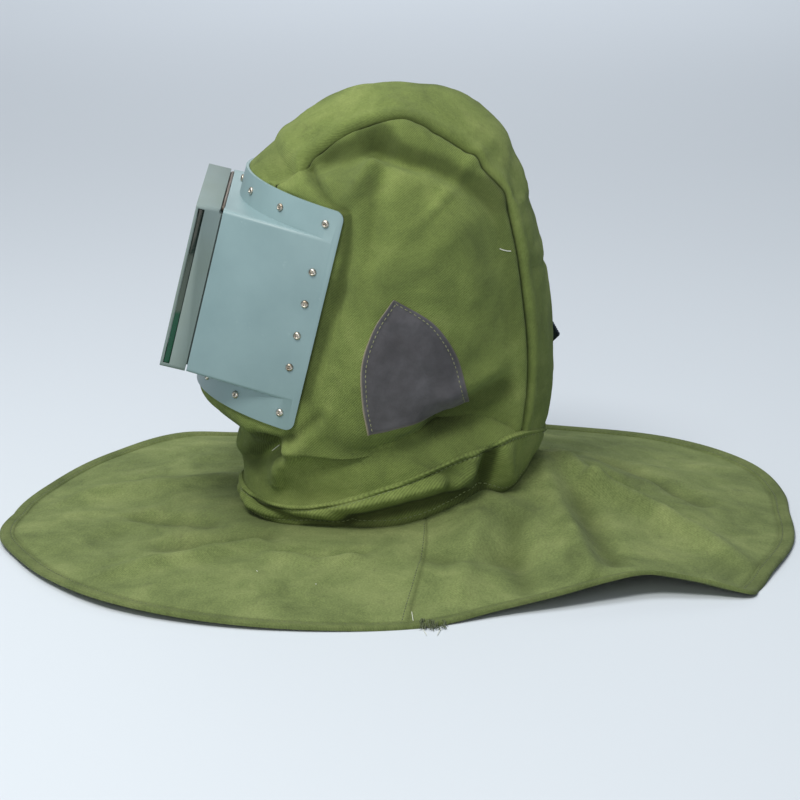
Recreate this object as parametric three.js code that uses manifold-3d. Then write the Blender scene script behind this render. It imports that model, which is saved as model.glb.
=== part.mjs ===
// Sandblasting hood: canvas hood and shoulder cape with a riveted flip-up visor.
// Millimetres, +Z up. The visor faces -Y and the wearer's left is +X.
// The origin is on the floor, under the middle of the cape.

import * as THREE from 'three';
import { mergeVertices } from 'three/addons/utils/BufferGeometryUtils.js';
import Module from 'manifold-3d';

const wasm = await Module();
wasm.setup();

// Hood
const hoodHeight = 369;
const hoodHalfDepth = 126;
const stripWidth = 114;
const canvasWall = 2;
const seamGap = 1.5;
const joinGap = 0.7;

// Neck band and cape
const bandTopHalfWidth = 105;
const bandTopFront = 134;
const bandTopBack = 121.5;
const bandBulge = 5;
const neckHalfWidth = 94;
const neckFront = 129;
const neckBack = 111;
const neckHeight = 50;
const capeHalfWidth = 283;
const capeHalfLength = 327;
const capeLift = 12;
const hemWidth = 11;
const hemThickness = 3.6;
const capeSeamTurn = 93;

// Visor, in its own axes: r runs back into the hood, u runs up the visor
const visorTilt = 13.7;
const visorForward = 156.7;
const visorHeight = 215.5;
const plateRadius = 108;
const plateHalfAngle = 78;
const plateWall = 2.5;
const plateSetback = 9;
const plateTop = 92.5;
const plateBottom = 92;
const plateCorner = 7;
const canvasOverlap = 22;
const canvasClearance = 0.35;
const housingFrontWidth = 172;
const housingRearWidth = 210;
const housingHeight = 137;
const housingDepth = 91.4;
const housingBevel = 2;
const passageWidth = 176;

// Lens frame
const frameGap = 1.2;
const frameDepth = 20.8;
const frameRim = 2.2;
const frameBorder = 14;
const frameBevel = 1.2;
const slotWidth = 5.2;
const slotEndWall = 3.4;
const glassClearance = 0.4;
const pinRadius = 1.6;
const pinLength = 150;
const pinClearance = 0.35;
const pinSwing = 0.65;

// Rivets
const rivetHeadRadius = 3.3;
const rivetHeadHeight = 1.7;
const rivetShankRadius = 1.5;
const rivetTailRadius = 3;
const rivetTailHeight = 0.8;
const rivetHoleClearance = 0.35;
const rivetTailClearance = 0.8;
const rivetPitchAngle = 23.5;
const rivetEdgeInset = 12.5;
const sideRivetPitch = 26.8;
const sideRivetBack = 80;
const sideRivetDrop = 0.6;

// Ear patches and back tab
const patchHeight = 114;
const patchWidth = 90;
const patchForward = 35;
const patchBottom = 104;
const patchWall = 1.3;
const patchClearance = 1.1;
const tabWidth = 25;
const tabReach = 24;
const tabWall = 1.6;

const canvasGreen = new THREE.MeshStandardMaterial({ color: 0x76894a, roughness: 0.95, metalness: 0 });
const capeGreen = new THREE.MeshStandardMaterial({ color: 0x7d9055, roughness: 0.95, metalness: 0 });
const mouldedPlastic = new THREE.MeshStandardMaterial({ color: 0x84a0a4, roughness: 0.42, metalness: 0 });
const framePlastic = new THREE.MeshStandardMaterial({ color: 0x7a8b8b, roughness: 0.45, metalness: 0 });
const filterGlass = new THREE.MeshStandardMaterial({ color: 0x0c3a24, roughness: 0.08, metalness: 0 });
const nickel = new THREE.MeshStandardMaterial({ color: 0xc9c2b4, roughness: 0.3, metalness: 1 });
const pinSteel = new THREE.MeshStandardMaterial({ color: 0x7d746a, roughness: 0.45, metalness: 1 });
const greyLeather = new THREE.MeshStandardMaterial({ color: 0x4c4b52, roughness: 0.7, metalness: 0 });
const navyWebbing = new THREE.MeshStandardMaterial({ color: 0x1f2a3a, roughness: 0.9, metalness: 0 });

const hood = new THREE.Group();
const rad = THREE.MathUtils.degToRad;
const lerp = THREE.MathUtils.lerp;
const vec = (x, y, z) => new THREE.Vector3(x, y, z);

function addMesh(name, geometry, material) {
  const mesh = new THREE.Mesh(geometry, material);
  mesh.name = name;
  hood.add(mesh);
  return mesh;
}

// Smooth value of one named column at a place along a table, by a spline through its rows
function tableValue(rows, key, column, at) {
  let i = 0;
  while (i < rows.length - 2 && rows[i + 1][key] <= at) i += 1;
  const before = rows[Math.max(i - 1, 0)];
  const start = rows[i];
  const end = rows[i + 1];
  const after = rows[Math.min(i + 2, rows.length - 1)];
  const span = end[key] - start[key];
  const t = THREE.MathUtils.clamp((at - start[key]) / span, 0, 1);
  const slopeIn = (end[column] - before[column]) / (end[key] - before[key]) * span;
  const slopeOut = (after[column] - start[column]) / (after[key] - start[key]) * span;
  const t2 = t * t;
  const t3 = t2 * t;
  return (2 * t3 - 3 * t2 + 1) * start[column] + (t3 - 2 * t2 + t) * slopeIn
    + (3 * t2 - 2 * t3) * end[column] + (t3 - t2) * slopeOut;
}

// Closed solid from an inner and an outer grid of points, grid[i][j]
function wallBetween(outer, inner, ring) {
  const rows = outer.length;
  const cols = outer[0].length;
  const positions = [];
  for (const grid of [outer, inner]) {
    for (const row of grid) {
      for (const p of row) positions.push(p.x, p.y, p.z);
    }
  }
  const index = [];
  const at = (side, i, j) => side * rows * cols + (i % rows) * cols + j;
  const quad = (a, b, c, d) => index.push(a, b, c, a, c, d);
  const lastRow = ring ? rows : rows - 1;
  for (let i = 0; i < lastRow; i += 1) {
    for (let j = 0; j < cols - 1; j += 1) {
      quad(at(0, i, j), at(0, i + 1, j), at(0, i + 1, j + 1), at(0, i, j + 1));
      quad(at(1, i, j), at(1, i, j + 1), at(1, i + 1, j + 1), at(1, i + 1, j));
    }
    quad(at(0, i, 0), at(1, i, 0), at(1, i + 1, 0), at(0, i + 1, 0));
    quad(at(0, i, cols - 1), at(0, i + 1, cols - 1), at(1, i + 1, cols - 1), at(1, i, cols - 1));
  }
  if (!ring) {
    for (let j = 0; j < cols - 1; j += 1) {
      quad(at(0, 0, j), at(0, 0, j + 1), at(1, 0, j + 1), at(1, 0, j));
      quad(at(0, rows - 1, j), at(1, rows - 1, j), at(1, rows - 1, j + 1), at(0, rows - 1, j + 1));
    }
  }
  const geometry = new THREE.BufferGeometry();
  geometry.setAttribute('position', new THREE.Float32BufferAttribute(positions, 3));
  geometry.setIndex(index);
  return facingOut(geometry);
}

// Turns every face round where a closed solid came out inside out
function facingOut(geometry) {
  const p = geometry.attributes.position;
  const index = geometry.index;
  let volume = 0;
  const a = vec(0, 0, 0);
  const b = vec(0, 0, 0);
  const c = vec(0, 0, 0);
  for (let i = 0; i < index.count; i += 3) {
    a.fromBufferAttribute(p, index.getX(i));
    b.fromBufferAttribute(p, index.getX(i + 1));
    c.fromBufferAttribute(p, index.getX(i + 2));
    volume += a.dot(b.cross(c));
  }
  if (volume < 0) {
    for (let i = 0; i < index.count; i += 3) {
      const first = index.getX(i);
      index.setX(i, index.getX(i + 1));
      index.setX(i + 1, first);
    }
  }
  geometry.computeVertexNormals();
  return geometry;
}

// Normals of a grid of points, from its neighbours along rows and columns
function gridNormals(grid, ring) {
  const rows = grid.length;
  return grid.map((row, i) => row.map((point, j) => {
    const previous = ring ? grid[(i + rows - 1) % rows][j] : grid[Math.max(i - 1, 0)][j];
    const next = ring ? grid[(i + 1) % rows][j] : grid[Math.min(i + 1, rows - 1)][j];
    const across = row[Math.min(j + 1, row.length - 1)].clone().sub(row[Math.max(j - 1, 0)]);
    return next.clone().sub(previous).cross(across).normalize();
  }));
}

// Cloth wall of even thickness about a grid of points on its middle surface
function clothWall(grid, thickness, ring = false) {
  const normals = gridNormals(grid, ring);
  const shifted = (side) => grid.map((row, i) => row.map((p, j) => (
    p.clone().addScaledVector(normals[i][j], side * thickness / 2))));
  return wallBetween(shifted(1), shifted(-1), ring);
}

// Height of a cloth fold at a point: a rounded ridge or valley along a line
function foldHeight(folds, a, b) {
  let height = 0;
  for (const fold of folds) {
    const da = fold.toA - fold.fromA;
    const db = fold.toB - fold.fromB;
    const along = THREE.MathUtils.clamp(
      ((a - fold.fromA) * da + (b - fold.fromB) * db) / (da * da + db * db), 0, 1);
    const off = Math.hypot(a - fold.fromA - along * da, b - fold.fromB - along * db);
    height += fold.height * Math.exp(-((off / fold.width) ** 2));
  }
  return height;
}

// Solids joined and cut with manifold
function toSolid(geometry) {
  const bare = geometry.clone();
  bare.deleteAttribute('normal');
  bare.deleteAttribute('uv');
  const merged = mergeVertices(bare, 1e-4);
  return new wasm.Manifold(new wasm.Mesh({
    numProp: 3,
    vertProperties: new Float32Array(merged.attributes.position.array),
    triVerts: new Uint32Array(merged.index.array),
  }));
}

function toGeometry(solid) {
  const mesh = solid.getMesh();
  const geometry = new THREE.BufferGeometry();
  geometry.setAttribute('position', new THREE.BufferAttribute(new Float32Array(mesh.vertProperties), 3));
  geometry.setIndex(new THREE.BufferAttribute(new Uint32Array(mesh.triVerts), 1));
  geometry.computeVertexNormals();
  return geometry;
}

// Visor axes in the hood: x across, r back into the hood, u up the visor
const tilt = rad(visorTilt);
const visorOrigin = vec(0, -visorForward, visorHeight);
const axisBack = vec(0, Math.cos(tilt), -Math.sin(tilt));
const axisUp = vec(0, Math.sin(tilt), Math.cos(tilt));
const visorMatrix = new THREE.Matrix4().makeBasis(vec(1, 0, 0), axisBack, axisUp).setPosition(visorOrigin);
const visorPoint = (x, r, u) => vec(x, r, u).applyMatrix4(visorMatrix);

// Point on a cylinder about the face plate's axis, at an angle from the front and a height
const plateAxis = plateSetback + plateRadius;
const onPlate = (radius, angle, u) => (
  visorPoint(radius * Math.sin(rad(angle)), plateAxis - radius * Math.cos(rad(angle)), u));

const canvasRadius = plateRadius - plateWall - canvasClearance - canvasWall / 2;

// Middle line of the centre strip: y and z as shares of the hood's half depth and height,
// and how far the strip stands above its two side seams, as a share of its half width
const stripHalf = stripWidth / 2;
const stripProfile = [
  { at: 0.00, along: -0.842, up: 0.870, crown: 0.42 },
  { at: 0.08, along: -0.580, up: 0.946, crown: 0.40 },
  { at: 0.16, along: -0.294, up: 0.989, crown: 0.32 },
  { at: 0.23, along: 0.000, up: 1.000, crown: 0.30 },
  { at: 0.31, along: 0.270, up: 0.996, crown: 0.30 },
  { at: 0.40, along: 0.532, up: 0.949, crown: 0.30 },
  { at: 0.48, along: 0.730, up: 0.870, crown: 0.32 },
  { at: 0.57, along: 0.833, up: 0.767, crown: 0.30 },
  { at: 0.67, along: 0.921, up: 0.640, crown: 0.30 },
  { at: 0.78, along: 0.992, up: 0.510, crown: 0.32 },
  { at: 0.90, along: 1.008, up: 0.355, crown: 0.35 },
  { at: 1.00, along: 0.968, up: 0.212, crown: 0.35 },
];

function stripMiddle(at) {
  const along = tableValue(stripProfile, 'at', 'along', at);
  const up = tableValue(stripProfile, 'at', 'up', at);
  return vec(0, along * hoodHalfDepth, up * hoodHeight);
}

function stripOutward(at) {
  const step = 0.01;
  const tangent = stripMiddle(Math.min(at + step, 1)).sub(stripMiddle(Math.max(at - step, 0)));
  return vec(0, -tangent.z, tangent.y).normalize();
}

// Point on the strip at a place along it and a share of its half width across it
function stripPoint(at, across) {
  const crown = tableValue(stripProfile, 'at', 'crown', at) * stripHalf;
  return stripMiddle(at)
    .addScaledVector(stripOutward(at), -crown * across * across)
    .setX(across * stripHalf);
}

// Neck band: heights round the hood as shares of the neck height, by turn from the front
const bandHeights = [
  { turn: 0, top: 0.76, bottom: 0.28 },
  { turn: 35, top: 0.63, bottom: 0.24 },
  { turn: 60, top: 0.76, bottom: 0.34 },
  { turn: 90, top: 1.22, bottom: 0.44 },
  { turn: 115, top: 1.62, bottom: 0.66 },
  { turn: 140, top: 1.90, bottom: 0.70 },
  { turn: 160, top: 1.74, bottom: 0.84 },
  { turn: 180, top: 1.56, bottom: 1.00 },
];

const foldedTurn = (turn) => {
  const wrapped = ((turn % 360) + 360) % 360;
  return wrapped > 180 ? 360 - wrapped : wrapped;
};

function ovalPoint(turn, halfWidth, front, back, z) {
  const reach = -Math.cos(rad(turn));
  return vec(halfWidth * Math.sin(rad(turn)), reach * (reach < 0 ? front : back), z);
}

function bandTop(turn) {
  const z = tableValue(bandHeights, 'turn', 'top', foldedTurn(turn)) * neckHeight;
  return ovalPoint(turn, bandTopHalfWidth, bandTopFront, bandTopBack, z);
}

function bandBottom(turn) {
  const z = tableValue(bandHeights, 'turn', 'bottom', foldedTurn(turn)) * neckHeight;
  return ovalPoint(turn, neckHalfWidth, neckFront, neckBack, z);
}

// Place along the strip where it meets the neck band, at a share of its half width across
function stripEnd(across) {
  const turn = 180 - THREE.MathUtils.radToDeg(Math.asin(Math.abs(across) * stripHalf / bandTopHalfWidth));
  const target = bandTop(turn).z + 2 * joinGap;
  let low = 0.5;
  let high = 1;
  for (let i = 0; i < 24; i += 1) {
    const middle = (low + high) / 2;
    if (stripPoint(middle, across).z > target) low = middle;
    else high = middle;
  }
  return high;
}

// Rivets: seven round the top flange, seven round the bottom one and four up each side.
// A seat is a place on the visor, the way out of it there, and the grip to the canvas inside.
const canvasInner = canvasRadius - canvasWall / 2;
const rivetSeats = [];

function flangeSeat(name, angle, u) {
  const outward = vec(Math.sin(rad(angle)), -Math.cos(rad(angle)), 0);
  const place = vec(0, plateAxis, u).addScaledVector(outward, plateRadius);
  return { name, place, outward, grip: plateRadius - canvasInner };
}

function sideSeat(name, side, u) {
  const flare = Math.atan2((housingRearWidth - housingFrontWidth) / 2, housingDepth);
  const outward = vec(side * Math.cos(flare), -Math.sin(flare), 0);
  const x = side * (housingFrontWidth / 2 + sideRivetBack * Math.tan(flare));
  const place = vec(x, sideRivetBack, u);
  const fromAxis = vec(x, sideRivetBack - plateAxis, 0);
  const slope = fromAxis.dot(outward);
  const grip = slope - Math.sqrt(slope ** 2 - fromAxis.lengthSq() + canvasInner ** 2);
  return { name, place, outward, grip };
}

for (let i = -3; i <= 3; i += 1) {
  const angle = i * rivetPitchAngle;
  rivetSeats.push(flangeSeat(`rivet_top_${i + 4}`, angle, plateTop - rivetEdgeInset));
  rivetSeats.push(flangeSeat(`rivet_bottom_${i + 4}`, angle, rivetEdgeInset - plateBottom));
}
for (let i = 0; i < 4; i += 1) {
  const u = (1.5 - i) * sideRivetPitch - sideRivetDrop;
  rivetSeats.push(sideSeat(`rivet_left_${i + 1}`, 1, u));
  rivetSeats.push(sideSeat(`rivet_right_${i + 1}`, -1, u));
}

function placeOnVisor(geometry, seat) {
  const turn = new THREE.Quaternion().setFromUnitVectors(vec(0, 1, 0), seat.outward);
  return geometry.applyQuaternion(turn).translate(...seat.place).applyMatrix4(visorMatrix);
}

// One rivet: domed head, shank, and the clinched tail inside the canvas
function rivetGeometry(seat) {
  const tailTop = -seat.grip - rivetTailClearance;
  const profile = [
    new THREE.Vector2(0, tailTop - rivetTailHeight),
    new THREE.Vector2(rivetTailRadius, tailTop - rivetTailHeight),
    new THREE.Vector2(rivetTailRadius, tailTop),
    new THREE.Vector2(rivetShankRadius, tailTop),
    new THREE.Vector2(rivetShankRadius, rivetHoleClearance),
    new THREE.Vector2(rivetHeadRadius, rivetHoleClearance),
    new THREE.Vector2(rivetHeadRadius * 0.72, rivetHoleClearance + rivetHeadHeight * 0.75),
    new THREE.Vector2(0, rivetHoleClearance + rivetHeadHeight),
  ];
  const rivetSides = 8;
  return placeOnVisor(new THREE.LatheGeometry(profile, rivetSides), seat);
}

const rivetHoleDepth = 24;
const rivetHoles = rivetSeats.map((seat) => {
  const radius = rivetShankRadius + rivetHoleClearance;
  return toSolid(placeOnVisor(new THREE.CylinderGeometry(radius, radius, rivetHoleDepth, 8), seat));
});

function withRivetHoles(geometry) {
  let solid = toSolid(geometry);
  for (const hole of rivetHoles) solid = solid.subtract(hole);
  return toGeometry(solid);
}

// Side panel: rows of cloth from the face plate's flange to the strip seam and the neck band,
// by share of the way round from the strip to the chin
const stripStartAngle = THREE.MathUtils.radToDeg(Math.asin((stripHalf + seamGap / 2) / canvasRadius));
const flangeAngle = plateHalfAngle + 1.5;
const insetAngle = plateHalfAngle - THREE.MathUtils.radToDeg(canvasOverlap / plateRadius);
const flangeCorners = { top: 0.17, bottom: 0.64 };

function flangePath(share, angleLimit, top, bottom) {
  if (share < flangeCorners.top) {
    const k = share / flangeCorners.top;
    return onPlate(canvasRadius, lerp(stripStartAngle, angleLimit, k), top);
  }
  if (share < flangeCorners.bottom) {
    const k = (share - flangeCorners.top) / (flangeCorners.bottom - flangeCorners.top);
    return onPlate(canvasRadius, angleLimit, lerp(top, -bottom, k));
  }
  const k = (share - flangeCorners.bottom) / (1 - flangeCorners.bottom);
  return onPlate(canvasRadius, lerp(angleLimit, 0, k), -bottom);
}

// Point under the flange, from the canvas's inner edge (0) to just past the flange's edge (1)
const flangePoint = (share, out) => flangePath(
  share, lerp(insetAngle, flangeAngle, out),
  lerp(plateTop - canvasOverlap, plateTop + 1, out),
  lerp(plateBottom - canvasOverlap, plateBottom + 1, out));

// Far edge of the panel: along the strip seam, then forward along the band's top edge
const panelCorner = 0.60;
const panelStart = 0.03;
const cornerTurn = 180 - THREE.MathUtils.radToDeg(Math.asin((stripHalf + seamGap / 2) / bandTopHalfWidth));

function panelFarEdge(share) {
  if (share < panelCorner) {
    const at = lerp(panelStart, stripEnd(1), share / panelCorner);
    return stripPoint(at, 1).add(vec(seamGap, 0, 0));
  }
  const turn = lerp(cornerTurn, 0, (share - panelCorner) / (1 - panelCorner));
  return bandTop(turn).add(vec(0, 0, 2 * joinGap));
}

// Direction in which the cloth reaches its far edge
function panelArrival(share) {
  const seam = Math.min(share / panelCorner, 1);
  const overStrip = stripOutward(lerp(panelStart, stripEnd(1), seam)).multiplyScalar(0.75).add(vec(-0.66, 0, 0));
  const turn = lerp(cornerTurn, 0, Math.max(share - panelCorner, 0) / (1 - panelCorner));
  const ontoBand = vec(0.25 * Math.sin(rad(turn)), -0.45 * Math.cos(rad(turn)), -0.9);
  const blend = THREE.MathUtils.smoothstep(share, panelCorner - 0.06, panelCorner + 0.05);
  return overStrip.lerp(ontoBand, blend).normalize();
}

// How full the cloth is between its two edges, as shares of the distance between them
const panelFullness = [
  { share: 0.00, front: 0.30, rear: 0.30 },
  { share: 0.10, front: 0.36, rear: 0.34 },
  { share: 0.22, front: 0.52, rear: 0.50 },
  { share: 0.42, front: 0.50, rear: 0.52 },
  { share: 0.58, front: 0.46, rear: 0.42 },
  { share: 0.72, front: 0.46, rear: 0.40 },
  { share: 0.86, front: 0.32, rear: 0.34 },
  { share: 1.00, front: 0.26, rear: 0.30 },
];

// Main folds and dents of a side panel, between points given as shares of the hood's
// half depth (fromA, toA) and height (fromB, toB), with width and height in the same shares
const panelFolds = [
  { fromA: -0.38, fromB: 0.78, toA: -0.47, toB: 0.30, width: 0.07, height: 0.030 },
  { fromA: -0.20, fromB: 0.72, toA: -0.33, toB: 0.30, width: 0.10, height: -0.040 },
  { fromA: 0.02, fromB: 0.86, toA: 0.62, toB: 0.73, width: 0.10, height: -0.050 },
  { fromA: -0.33, fromB: 0.84, toA: -0.44, toB: 0.68, width: 0.07, height: 0.024 },
  { fromA: 0.46, fromB: 0.34, toA: 0.72, toB: 0.29, width: 0.14, height: -0.060 },
  { fromA: -0.62, fromB: 0.26, toA: -0.46, toB: 0.15, width: 0.06, height: 0.034 },
  { fromA: -0.92, fromB: 0.20, toA: -0.84, toB: 0.15, width: 0.10, height: -0.060 },
  { fromA: 0.52, fromB: 0.62, toA: 0.60, toB: 0.42, width: 0.12, height: 0.020 },
];

function panelPoint(share, across) {
  const start = flangePoint(share, 1);
  const end = panelFarEdge(share);
  const span = start.distanceTo(end);
  const leaving = start.clone().sub(flangePoint(share, 0.8)).normalize();
  const front = tableValue(panelFullness, 'share', 'front', share) * span;
  const rear = tableValue(panelFullness, 'share', 'rear', share) * span;
  const curve = new THREE.CubicBezierCurve3(
    start, start.clone().addScaledVector(leaving, front),
    end.clone().addScaledVector(panelArrival(share), -rear), end);
  const point = curve.getPoint(across);
  const fade = Math.sin(Math.PI * across) ** 0.7;
  const height = foldHeight(panelFolds, point.y / hoodHalfDepth, point.z / hoodHeight) * hoodHalfDepth;
  const middle = vec(0, point.y * 0.3, lerp(point.z, hoodHeight * 0.5, 0.6));
  const outward = point.clone().sub(middle).normalize();
  return point.addScaledVector(outward, height * fade);
}

function sidePanel(side) {
  const panelRows = 28;
  const panelColumns = 9;
  const grid = [];
  for (let i = 0; i <= panelRows; i += 1) {
    const share = i / panelRows;
    const row = [flangePoint(share, 0), flangePoint(share, 0.5)];
    for (let j = 0; j <= panelColumns; j += 1) row.push(panelPoint(share, j / panelColumns));
    if (i === panelRows) row.forEach((p) => p.setX(joinGap / 2));
    grid.push(row.map((p) => p.setX(Math.max(p.x, joinGap / 2) * side)));
  }
  return withRivetHoles(clothWall(grid, canvasWall));
}

const panelLeft = addMesh('side_panel_left', sidePanel(1), canvasGreen);
addMesh('side_panel_right', sidePanel(-1), canvasGreen);

// Centre strip: from under the plate's top flange over the crown and down the back
function centreStrip() {
  const stripColumns = 6;
  const stripRows = 22;
  const grid = [];
  const crossings = Array.from({ length: stripColumns + 1 }, (_, j) => 2 * j / stripColumns - 1);
  const startAngle = THREE.MathUtils.radToDeg(Math.asin(stripHalf / canvasRadius));
  for (const u of [plateTop - canvasOverlap, plateTop - canvasOverlap / 2, plateTop + 1]) {
    grid.push(crossings.map((across) => onPlate(canvasRadius, across * startAngle, u)));
  }
  for (let i = 1; i <= stripRows; i += 1) {
    grid.push(crossings.map((across) => stripPoint(i / stripRows * stripEnd(across), across)));
  }
  return withRivetHoles(clothWall(grid, canvasWall));
}
addMesh('centre_strip', centreStrip(), canvasGreen);

// Neck band: one ring between the hood panels and the cape
function neckBand() {
  const bandSections = 40;
  const bandRows = 4;
  const grid = [];
  for (let i = 0; i < bandSections; i += 1) {
    const turn = i / bandSections * 360;
    const top = bandTop(turn);
    const bottom = bandBottom(turn).add(vec(0, 0, joinGap / 2));
    const outward = vec(Math.sin(rad(turn)), -Math.cos(rad(turn)), 0);
    const fullness = bandBulge * (0.6 + 0.4 * Math.cos(rad(turn)));
    const row = [];
    for (let j = 0; j <= bandRows; j += 1) {
      const down = j / bandRows;
      row.push(top.clone().lerp(bottom, down)
        .addScaledVector(outward, fullness * Math.sin(Math.PI * down) ** 2));
    }
    grid.push(row);
  }
  return clothWall(grid, canvasWall, true);
}
addMesh('neck_band', neckBand(), canvasGreen);

// Cape outline on the floor: reach as a share of an oval, and lift of the hem as a share
// of the largest lift, by turn from the front towards the wearer's left
const capeOutline = [
  { turn: 0, reach: 0.99, lift: 0 },
  { turn: 25, reach: 1.03, lift: 0 },
  { turn: 50, reach: 1.045, lift: 0 },
  { turn: 75, reach: 1.04, lift: 0 },
  { turn: 90, reach: 1.00, lift: 0 },
  { turn: 106, reach: 0.965, lift: 0.15 },
  { turn: 119, reach: 0.98, lift: 0.7 },
  { turn: 130, reach: 1.03, lift: 1.0 },
  { turn: 138, reach: 1.08, lift: 0.55 },
  { turn: 146, reach: 1.075, lift: 0 },
  { turn: 163, reach: 1.03, lift: 0 },
  { turn: 180, reach: 1.01, lift: 0 },
  { turn: 192, reach: 1.04, lift: 0 },
  { turn: 208, reach: 1.085, lift: 0.2 },
  { turn: 225, reach: 1.09, lift: 0.3 },
  { turn: 245, reach: 1.07, lift: 0 },
  { turn: 270, reach: 1.02, lift: 0.2 },
  { turn: 295, reach: 0.985, lift: 0 },
  { turn: 307, reach: 1.03, lift: 0.4 },
  { turn: 322, reach: 1.01, lift: 0.2 },
  { turn: 342, reach: 0.985, lift: 0 },
  { turn: 360, reach: 0.99, lift: 0 },
];

// Main ridges and valleys of the cape, between points given as shares of its half width
// (fromA, toA) and half length (fromB, toB), with width and height in the same shares
const capeFolds = [
  { fromA: 0.32, fromB: 0.36, toA: 0.72, toB: 0.50, width: 0.07, height: 0.040 },
  { fromA: 0.20, fromB: 0.44, toA: 0.60, toB: 0.68, width: 0.07, height: -0.022 },
  { fromA: -0.05, fromB: 0.42, toA: 0.10, toB: 0.80, width: 0.09, height: 0.026 },
  { fromA: 0.10, fromB: -0.50, toA: 0.52, toB: -0.66, width: 0.07, height: 0.024 },
  { fromA: -0.20, fromB: -0.46, toA: -0.10, toB: -0.82, width: 0.08, height: 0.026 },
  { fromA: 0.66, fromB: -0.36, toA: 0.72, toB: 0.02, width: 0.06, height: 0.014 },
  { fromA: -0.42, fromB: 0.20, toA: -0.80, toB: 0.36, width: 0.08, height: 0.026 },
  { fromA: -0.44, fromB: -0.18, toA: -0.82, toB: -0.26, width: 0.08, height: 0.024 },
];

const hemShare = 1 - hemWidth / (capeHalfWidth - neckHalfWidth);

function capePoint(turn, out) {
  const wrapped = ((turn % 360) + 360) % 360;
  const neck = bandBottom(turn);
  const neckOutward = vec(Math.sin(rad(turn)), -Math.cos(rad(turn)), 0);
  neck.addScaledVector(neckOutward, -canvasWall / 2);
  neck.z -= canvasWall + joinGap;
  const reach = tableValue(capeOutline, 'turn', 'reach', wrapped);
  const lift = Math.max(tableValue(capeOutline, 'turn', 'lift', wrapped), 0) * capeLift;
  const hem = vec(
    capeHalfWidth * reach * Math.sin(rad(turn)), -capeHalfLength * reach * Math.cos(rad(turn)), 0);
  const point = neck.clone().lerp(hem, out);
  const folds = foldHeight(capeFolds, point.x / capeHalfWidth, point.y / capeHalfLength);
  const toHem = Math.min(out / hemShare, 1);
  const fade = Math.sin(Math.PI * toHem) ** 0.6;
  const drop = (1 - toHem) ** 1.7;
  const slack = 0.10 * neckHeight * Math.sin(Math.PI * toHem);
  point.z = neck.z * drop + lift * out ** 3 + slack + folds * capeHalfWidth * fade;
  return point;
}

// One half of the cape. Its underside is never below the floor, and its hem is doubled.
function capeHalf(fromTurn, toTurn) {
  const capeSections = 30;
  const capeRings = 7;
  const rings = [];
  for (let j = 0; j < capeRings; j += 1) rings.push(j / capeRings * hemShare);
  rings.push(hemShare - 0.005, hemShare, 1);
  const top = [];
  const bottom = [];
  for (let i = 0; i <= capeSections; i += 1) {
    const turn = lerp(fromTurn, toTurn, i / capeSections);
    const points = rings.map((out) => capePoint(turn, out));
    const floorOf = (p) => Math.max(p.z, 0);
    bottom.push(points.map((p) => vec(p.x, p.y, floorOf(p))));
    top.push(points.map((p, j) => (
      vec(p.x, p.y, floorOf(p) + (rings[j] >= hemShare ? hemThickness : canvasWall)))));
  }
  return wallBetween(top, bottom, false);
}

const seamTurnGap = THREE.MathUtils.radToDeg(joinGap / neckHalfWidth / 2);
addMesh('cape_front', capeHalf(-capeSeamTurn + seamTurnGap, capeSeamTurn - seamTurnGap), capeGreen);
addMesh('cape_back', capeHalf(capeSeamTurn + seamTurnGap, 360 - capeSeamTurn - seamTurnGap), capeGreen);

// Solid extruded along the visor's height from an outline across x and r
function extrudeUp(outline, low, high, bevel = 0) {
  const geometry = new THREE.ExtrudeGeometry(outline, {
    depth: high - low - 2 * bevel,
    bevelEnabled: bevel > 0,
    bevelThickness: bevel,
    bevelSize: bevel,
    bevelOffset: -bevel,
    bevelSegments: 2,
    curveSegments: 20,
  });
  return toSolid(geometry.translate(0, 0, low + bevel));
}

// Outline with rounded corners, centred on the axis of the visor
function roundedOutline(halfWidth, halfHeight, radius) {
  const shape = new THREE.Shape();
  shape.absarc(halfWidth - radius, halfHeight - radius, radius, 0, Math.PI / 2);
  shape.absarc(radius - halfWidth, halfHeight - radius, radius, Math.PI / 2, Math.PI);
  shape.absarc(radius - halfWidth, radius - halfHeight, radius, Math.PI, Math.PI * 1.5);
  shape.absarc(halfWidth - radius, radius - halfHeight, radius, Math.PI * 1.5, Math.PI * 2);
  return shape;
}

// Solid extruded along r from an outline across x and u
function extrudeBack(outline, near, far, bevel = 0) {
  const geometry = new THREE.ExtrudeGeometry(outline, {
    depth: far - near - 2 * bevel,
    bevelEnabled: bevel > 0,
    bevelThickness: bevel,
    bevelSize: bevel,
    bevelOffset: -bevel,
    bevelSegments: 1,
    curveSegments: 5,
  });
  geometry.rotateX(Math.PI / 2).translate(0, far - bevel, 0);
  return toSolid(geometry);
}

function trapezium(frontHalf, rearHalf, near, far) {
  const shape = new THREE.Shape();
  shape.moveTo(-frontHalf, near);
  shape.lineTo(frontHalf, near);
  shape.lineTo(rearHalf, far);
  shape.lineTo(-rearHalf, far);
  shape.closePath();
  return shape;
}

// Hinge pin and the grooves for it, across the top of the housing's front edge
const hingeR = -frameGap / 2;
const hingeU = housingHeight / 2 - pinRadius;

function pinSolid(radius, length) {
  const sides = 16;
  const geometry = new THREE.CylinderGeometry(radius, radius, length, sides);
  return toSolid(geometry.rotateZ(Math.PI / 2).translate(0, hingeR, hingeU));
}

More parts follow.
